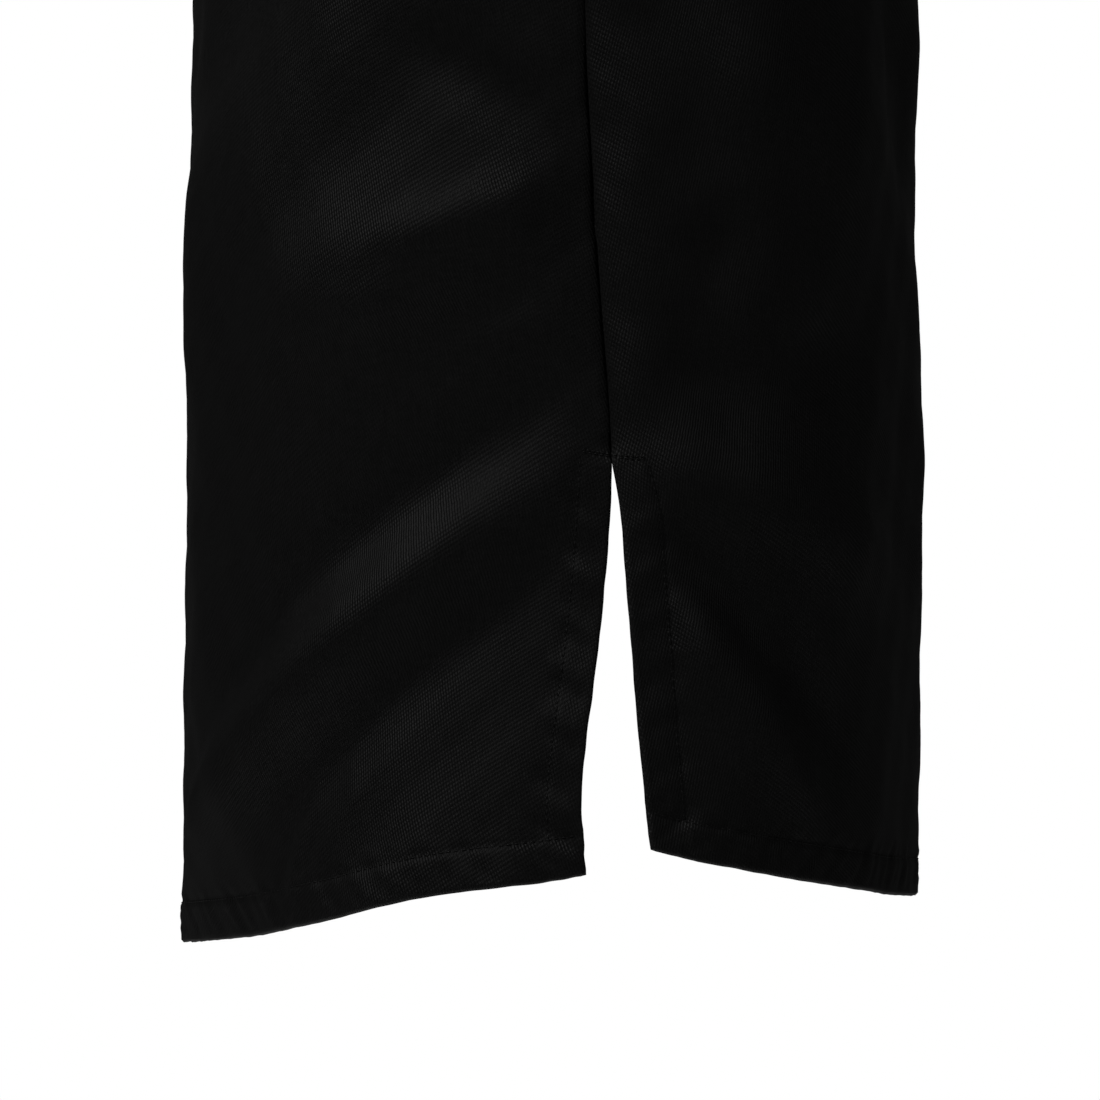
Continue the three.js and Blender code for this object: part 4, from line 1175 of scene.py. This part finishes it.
class StageSettings(bpy.types.PropertyGroup):
    """Lights and floor."""

    key_power: FloatProperty(
        name="Key light", description="Power of the light on the front",
        default=76, min=0, subtype="POWER", unit="POWER",
    )
    fill_power: FloatProperty(
        name="Fill light", description="Power of the light on the side",
        default=14.5, min=0, subtype="POWER", unit="POWER",
    )
    overhead_power: FloatProperty(
        name="Overhead light", description="Power of the light from above",
        default=85, min=0, subtype="POWER", unit="POWER",
    )
    ambient: FloatProperty(
        name="Ambient", description="Strength of the light from all round", default=0.03, min=0, max=2
    )
    floor_colour: FloatVectorProperty(
        name="Floor", description="Colour of the floor",
        default=(0.85, 0.85, 0.84), subtype="COLOR", min=0, max=1,
    )


class JACKET_OT_stage(bpy.types.Operator):
    """Sets the camera at the close-up's place, with soft lights, a white surround and a pale floor"""

    bl_idname = "jacket.stage"
    bl_label = "Stage and camera"

    def execute(self, context):
        settings = context.scene.jacket_stage
        camera = bpy.data.objects.new("camera", bpy.data.cameras.new("camera"))
        context.scene.collection.objects.link(camera)
        camera.data.sensor_width = SENSOR
        camera.data.lens = SENSOR * CAMERA_DISTANCE / FRAME_WIDTH
        camera.data.clip_start, camera.data.clip_end = CAMERA_REACH
        camera.data.shift_x = MIDDLE_Y / FRAME_WIDTH
        camera.data.shift_y = (MIDDLE_Z - APEX_Z) / FRAME_WIDTH
        camera.location = Vector((SIDE_X + CAMERA_DISTANCE, 0, APEX_Z)) * MM
        camera.rotation_euler = Vector((-1, 0, 0)).to_track_quat("-Z", "Y").to_euler()
        context.scene.camera = camera
        context.scene.view_settings.view_transform = "Standard"
        for name, (place, size) in LIGHTS.items():
            light = bpy.data.lights.new(name, "AREA")
            light.size, light.energy = size, getattr(settings, name + "_power")
            lamp = bpy.data.objects.new(name, light)
            lamp.location = place
            lamp.rotation_euler = (Vector(LIT_PLACE) - Vector(place)).to_track_quat("-Z", "Y").to_euler()
            context.scene.collection.objects.link(lamp)
        self.add_surround(context, settings)
        self.add_floor(context, settings)
        return {"FINISHED"}

    def add_surround(self, context, settings):
        """White to the camera, and a faint light from all round on the jacket."""
        world = bpy.data.worlds.new("white_surround")
        context.scene.world = world
        world.use_nodes = True
        tree = world.node_tree
        tree.nodes.clear()
        lit, seen = (
            add_node(tree, "ShaderNodeBackground", {"Color": (1, 1, 1, 1), "Strength": strength}).outputs[0]
            for strength in (settings.ambient, 1.0)
        )
        to_camera = add_node(tree, "ShaderNodeLightPath").outputs["Is Camera Ray"]
        mix = add_node(tree, "ShaderNodeMixShader", {0: to_camera, 1: lit, 2: seen})
        add_node(tree, "ShaderNodeOutputWorld", {"Surface": mix.outputs[0]})

    def add_floor(self, context, settings):
        """A round pale floor far below the hem, out of the close-up's view."""
        turn = np.linspace(0, 2 * math.pi, FLOOR_SIDES + 1)[:-1]
        height = np.full(FLOOR_SIDES, FLOOR_Z)
        rim = np.stack([FLOOR_RADIUS * np.cos(turn), FLOOR_RADIUS * np.sin(turn), height], axis=-1)
        mesh = bpy.data.meshes.new("floor")
        mesh.from_pydata((rim * MM).tolist(), [], [list(range(FLOOR_SIDES))])
        material, tree = new_material("painted_floor")
        grain = noise(tree, object_place(tree), scale=3, detail=4)
        tone = blend(tree, grain, (*settings.floor_colour, 1), FLOOR_GRAIN)
        add_shader(tree, {"Base Color": tone, "Roughness": 0.8})
        mesh.materials.append(material)
        floor = bpy.data.objects.new("floor", mesh)
        context.scene.collection.objects.link(floor)


class JACKET_OT_fronts(bpy.types.Operator):
    """Makes the upper and the under front"""

    bl_idname = "jacket.fronts"
    bl_label = "Fronts"

    def execute(self, context):
        build_panel("front_left")
        build_panel("front_right")
        return {"FINISHED"}


class JACKET_OT_back(bpy.types.Operator):
    """Makes the back"""

    bl_idname = "jacket.back"
    bl_label = "Back"

    def execute(self, context):
        build_panel("back")
        return {"FINISHED"}


class JACKET_OT_sleeves(bpy.types.Operator):
    """Makes both sleeves"""

    bl_idname = "jacket.sleeves"
    bl_label = "Sleeves"

    def execute(self, context):
        for name in ("sleeve_left", "sleeve_right"):
            face = surface(name)
            uv = np.stack([face.shares * SLEEVE_GIRTH, by_row(face, -face.rows)], axis=-1)
            from_hem = by_row(face, face.rows[-1] - face.rows)
            thick = np.where(from_hem < CUFF_DEPTH, HEM_CLOTH, CLOTH)
            mesh = wall_mesh(name + "_cloth", face, thick, uv, np.where(from_hem < 1, EDGE_BULGE, 0.0))
            add_piece(name + "_cloth", mesh, cotton_twill(), (name,))
        return {"FINISHED"}


class JACKET_OT_collar(bpy.types.Operator):
    """Makes the stand collar"""

    bl_idname = "jacket.collar"
    bl_label = "Collar"

    def execute(self, context):
        face = surface("collar")
        uv = np.stack([face.shares * COLLAR_LENGTH, by_row(face, face.rows)], axis=-1)
        thick, bulge = (np.full(face.shares.shape, value) for value in (COLLAR_CLOTH, EDGE_BULGE))
        mesh = wall_mesh("collar_cloth", face, thick, uv, bulge)
        add_piece("collar_cloth", mesh, cotton_twill(), ("collar",))
        return {"FINISHED"}


class JACKET_OT_allowances(bpy.types.Operator):
    """Makes the seam allowances inside the garment"""

    bl_idname = "jacket.allowances"
    bl_label = "Seam allowances"

    def execute(self, context):
        for name, face, edge, inside in allowance_places():
            mesh = allowance_mesh(name + "_allowance", face, edge, inside)
            add_piece(name + "_allowance", mesh, cotton_twill())
        return {"FINISHED"}


def button_place(side, w):
    """Centre and outward direction of a button, seated on the upper front."""
    face = surface("front_left")
    row = row_at(face, w)
    column = column_at(face, side * share_at(BUTTON_FROM_CENTRE, w), int(row))
    centre, normal = sample(face, row, column)
    return centre, unit(normal)


def button_mesh(name, centre, forward, upward, normal):
    """A turned button: a disc whose height depends on its radius, with four round holes.

    The profile runs from the underside's middle out over the rounded edge, the rim and the dish. Holes
    are deep dimples where a point is near one of four centres.
    """
    dish = np.linspace(*BUTTON_DISH, BUTTON_DISH_RINGS)
    radius = np.concatenate([BUTTON_PROFILE["radius"], dish])
    height = np.concatenate([BUTTON_PROFILE["height"], np.full(len(dish), BUTTON_PROFILE["height"][-1])])
    turn = np.linspace(0, 2 * math.pi, BUTTON_COLUMNS)
    x, y = radius[:, None] * np.cos(turn), radius[:, None] * np.sin(turn)
    z = np.broadcast_to(height[:, None], x.shape).copy()
    top = (np.arange(len(radius)) > BUTTON_TOP_FROM)[:, None]
    for hole_x, hole_y in HOLE_PLACES:
        z -= top * HOLE_DEPTH * (1 - smooth(*HOLE_RADII, np.hypot(x - hole_x, y - hole_y)))
    lifted = (z[..., None] + BUTTON_LIFT) * normal
    points = centre + x[..., None] * forward + y[..., None] * upward + lifted
    mesh = new_mesh(name, points.reshape(-1, 3), grid_quads(len(radius), BUTTON_COLUMNS))
    weld(mesh)
    return mesh


def weld(mesh):
    """Joins doubled points of a mesh, closing its seam and poles."""
    work = bmesh.new()
    work.from_mesh(mesh)
    bmesh.ops.remove_doubles(work, verts=work.verts, dist=WELD_DISTANCE)
    bmesh.ops.recalc_face_normals(work, faces=work.faces)
    work.to_mesh(mesh)
    work.free()


class JACKET_OT_buttons(bpy.types.Operator):
    """Makes the ten buttons, the thread that holds them and their buttonholes"""

    bl_idname = "jacket.buttons"
    bl_label = "Buttons"

    def execute(self, context):
        threads, holes = [], []
        t = np.linspace(-BUTTON_THREAD_REACH, BUTTON_THREAD_REACH, 9)[:, None]
        turn = np.linspace(0, 2 * math.pi, 60)[:, None]
        for side, word in SIDE_NAMES.items():
            for number, w in enumerate(BUTTON_HEIGHTS, 1):
                centre, normal = button_place(side, w)
                forward = unit(np.cross((0, 0, 1.0), normal))
                upward = np.cross(normal, forward)
                name = f"button_{word}_{number}"
                mesh = button_mesh(name + "_resin", centre, forward, upward, normal)
                add_piece(name + "_resin", mesh, moulded_button(), (name,))
                for shift in (-HOLE_FROM_MIDDLE, HOLE_FROM_MIDDLE):
                    line = centre + upward * shift + forward * t + normal * BUTTON_THREAD_HEIGHT
                    threads.append((line, np.tile(normal, (len(t), 1))))
                oval = forward * BUTTONHOLE_HALF_LENGTH * np.cos(turn)
                oval = oval + upward * BUTTONHOLE_HALF_WIDTH * np.sin(turn)
                ground = centre + oval + forward * side * BUTTONHOLE_SHIFT
                holes.append((ground, np.tile(normal, (len(turn), 1))))
        for name, lines in (("button_threads", threads), ("buttonholes", holes)):
            add_piece(name, stitch_mesh(name, lines, *SPECIAL_STITCHES[name]), spun_thread())
        return {"FINISHED"}


def hem_lines():
    """Lines of the hem stitching on the three panels, from vent to vent and to the free edges."""
    lines = []
    for name, (part, _) in PANELS.items():
        face = surface(name)
        edge = 1 - HEM_STITCHING_GAP / HALF_WIDTH[part]
        ends = column_at(face, np.clip(face.shares[0, [0, -1]], -edge, edge))
        columns = np.linspace(min(ends), max(ends), 400)
        lines.append(sample(face, row_at(face, bpy.context.scene.jacket_sizes.hem_depth), columns))
    return lines


def vent_lines():
    """Lines beside the vent edges, from the hem stitching up to just above the vent."""
    lines = []
    for _, face, part, side in panel_sides():
        rows = row_at(face, np.linspace(bpy.context.scene.jacket_sizes.hem_depth, VENT_FRONT + 1, 90))
        lines.append(sample(face, rows, from_side(face, part, side, facing_width(part))))
    return lines


def bar_lines():
    """The bar of stitching across the top of each vent, on the front and on the back."""
    lines = []
    for _, face, part, side in panel_sides():
        away = np.linspace(BAR_FROM, BAR_REACH[part], 12)
        rise = VENT_FRONT + 1.0 + BAR_RISE[part] * away
        for shift in (0, BAR_SECOND_ROW):
            lines.append(sample(face, row_at(face, rise + shift), from_side(face, part, side, away)))
    return lines


def edge_lines():
    """Stitching along the free edge of the upper front."""
    face = surface("front_left")
    rows = np.linspace(row_at(face, 1), len(face.rows) - 4, 500)
    width = np.linalg.norm(face.points[:, 1] - face.points[:, 0], axis=-1)
    return [sample(face, rows, SEAM_STITCHING / np.interp(rows, np.arange(len(width)), width))]


def shoulder_lines():
    """Stitching on the panels beside each armhole, and on the back beside each shoulder seam."""
    lines = []
    for _, face, part, side in panel_sides():
        rows = np.linspace(row_at(face, UNDERARM_W + 6), len(face.rows) - 3, 160)
        lines.append(sample(face, rows, from_side(face, part, side, SEAM_STITCHING)))
    back = surface("back")
    row = len(back.rows) - 1 - SEAM_STITCHING / ROW_STEPS[-1][1]
    for side in SIDE_NAMES:
        shares = side * np.linspace(NECK_SHARE["back"] + 0.02, SHOULDER_END, 90)
        lines.append(sample(back, row, column_at(back, shares, -1)))
    return lines


def cuff_lines():
    """Stitching round each sleeve, above its hem."""
    faces = [surface(name) for name in ("sleeve_left", "sleeve_right")]
    columns = np.linspace(0, SLEEVE_COLUMNS - 1, 300)
    return [sample(face, row_at(face, face.rows[-1] - CUFF_DEPTH), columns) for face in faces]


def collar_lines():
    """Stitching round the collar's free edge and along its foot."""
    face = surface("collar")
    last = face.shares.shape[1] - 1
    foot, top = COLLAR_FOOT_STITCHING, COLLAR_HEIGHT - COLLAR_STITCHING
    up = row_at(face, np.linspace(foot, top, 30))
    return [
        sample(face, row_at(face, foot), np.linspace(1, last - 1, 300)),
        sample(face, row_at(face, top), np.linspace(COLLAR_STITCHED, last - COLLAR_STITCHED, 300)),
        sample(face, up, COLLAR_STITCHED),
        sample(face, up, last - COLLAR_STITCHED),
    ]


class JACKET_OT_topstitching(bpy.types.Operator):
    """Sews the hems, vents, free edge, shoulders, cuffs and collar"""

    bl_idname = "jacket.topstitching"
    bl_label = "Topstitching"

    def execute(self, context):
        rows = {
            "hem_stitching": hem_lines(),
            "vent_stitching": vent_lines(),
            "edge_stitching": edge_lines(),
            "shoulder_stitching": shoulder_lines(),
            "cuff_stitching": cuff_lines(),
            "collar_stitching": collar_lines(),
            "vent_bars": bar_lines(),
        }
        for name, lines in rows.items():
            mesh = stitch_mesh(name, lines, *SPECIAL_STITCHES.get(name, ()))
            add_piece(name, mesh, spun_thread())
        return {"FINISHED"}


class JACKET_PT_panel(bpy.types.Panel):
    """Lists the jacket's sizes, colours and steps"""

    bl_label = "Chef Jacket"
    bl_idname = "JACKET_PT_panel"
    bl_space_type = "VIEW_3D"
    bl_region_type = "UI"
    bl_category = "Jacket"

    def draw(self, context):
        layout = self.layout
        for key in GROUPS:
            group = getattr(context.scene, key)
            box = layout.box()
            for setting in group.__annotations__:
                box.prop(group, setting)
        for operator in STEPS:
            layout.operator(operator.bl_idname)


STEPS = (
    JACKET_OT_stage,
    JACKET_OT_fronts,
    JACKET_OT_back,
    JACKET_OT_sleeves,
    JACKET_OT_collar,
    JACKET_OT_allowances,
    JACKET_OT_buttons,
    JACKET_OT_topstitching,
)
GROUPS = {"jacket_sizes": JacketSizes, "jacket_colours": JacketColours, "jacket_stage": StageSettings}
CLASSES = (*GROUPS.values(), *STEPS, JACKET_PT_panel)


def register():
    """Registers the settings, steps and panel."""
    for group in CLASSES:
        bpy.utils.register_class(group)
    for key, group in GROUPS.items():
        setattr(bpy.types.Scene, key, PointerProperty(type=group))


def unregister():
    """Takes them out again."""
    for key in GROUPS:
        delattr(bpy.types.Scene, key)
    for group in reversed(CLASSES):
        bpy.utils.unregister_class(group)


def main():
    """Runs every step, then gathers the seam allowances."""
    register()
    for operator in STEPS:
        group, word = operator.bl_idname.split(".")
        getattr(getattr(bpy.ops, group), word)()
    allowances = [piece for piece in bpy.data.objects if piece.name.endswith("_allowance")]


if __name__ == "__main__":
    main()
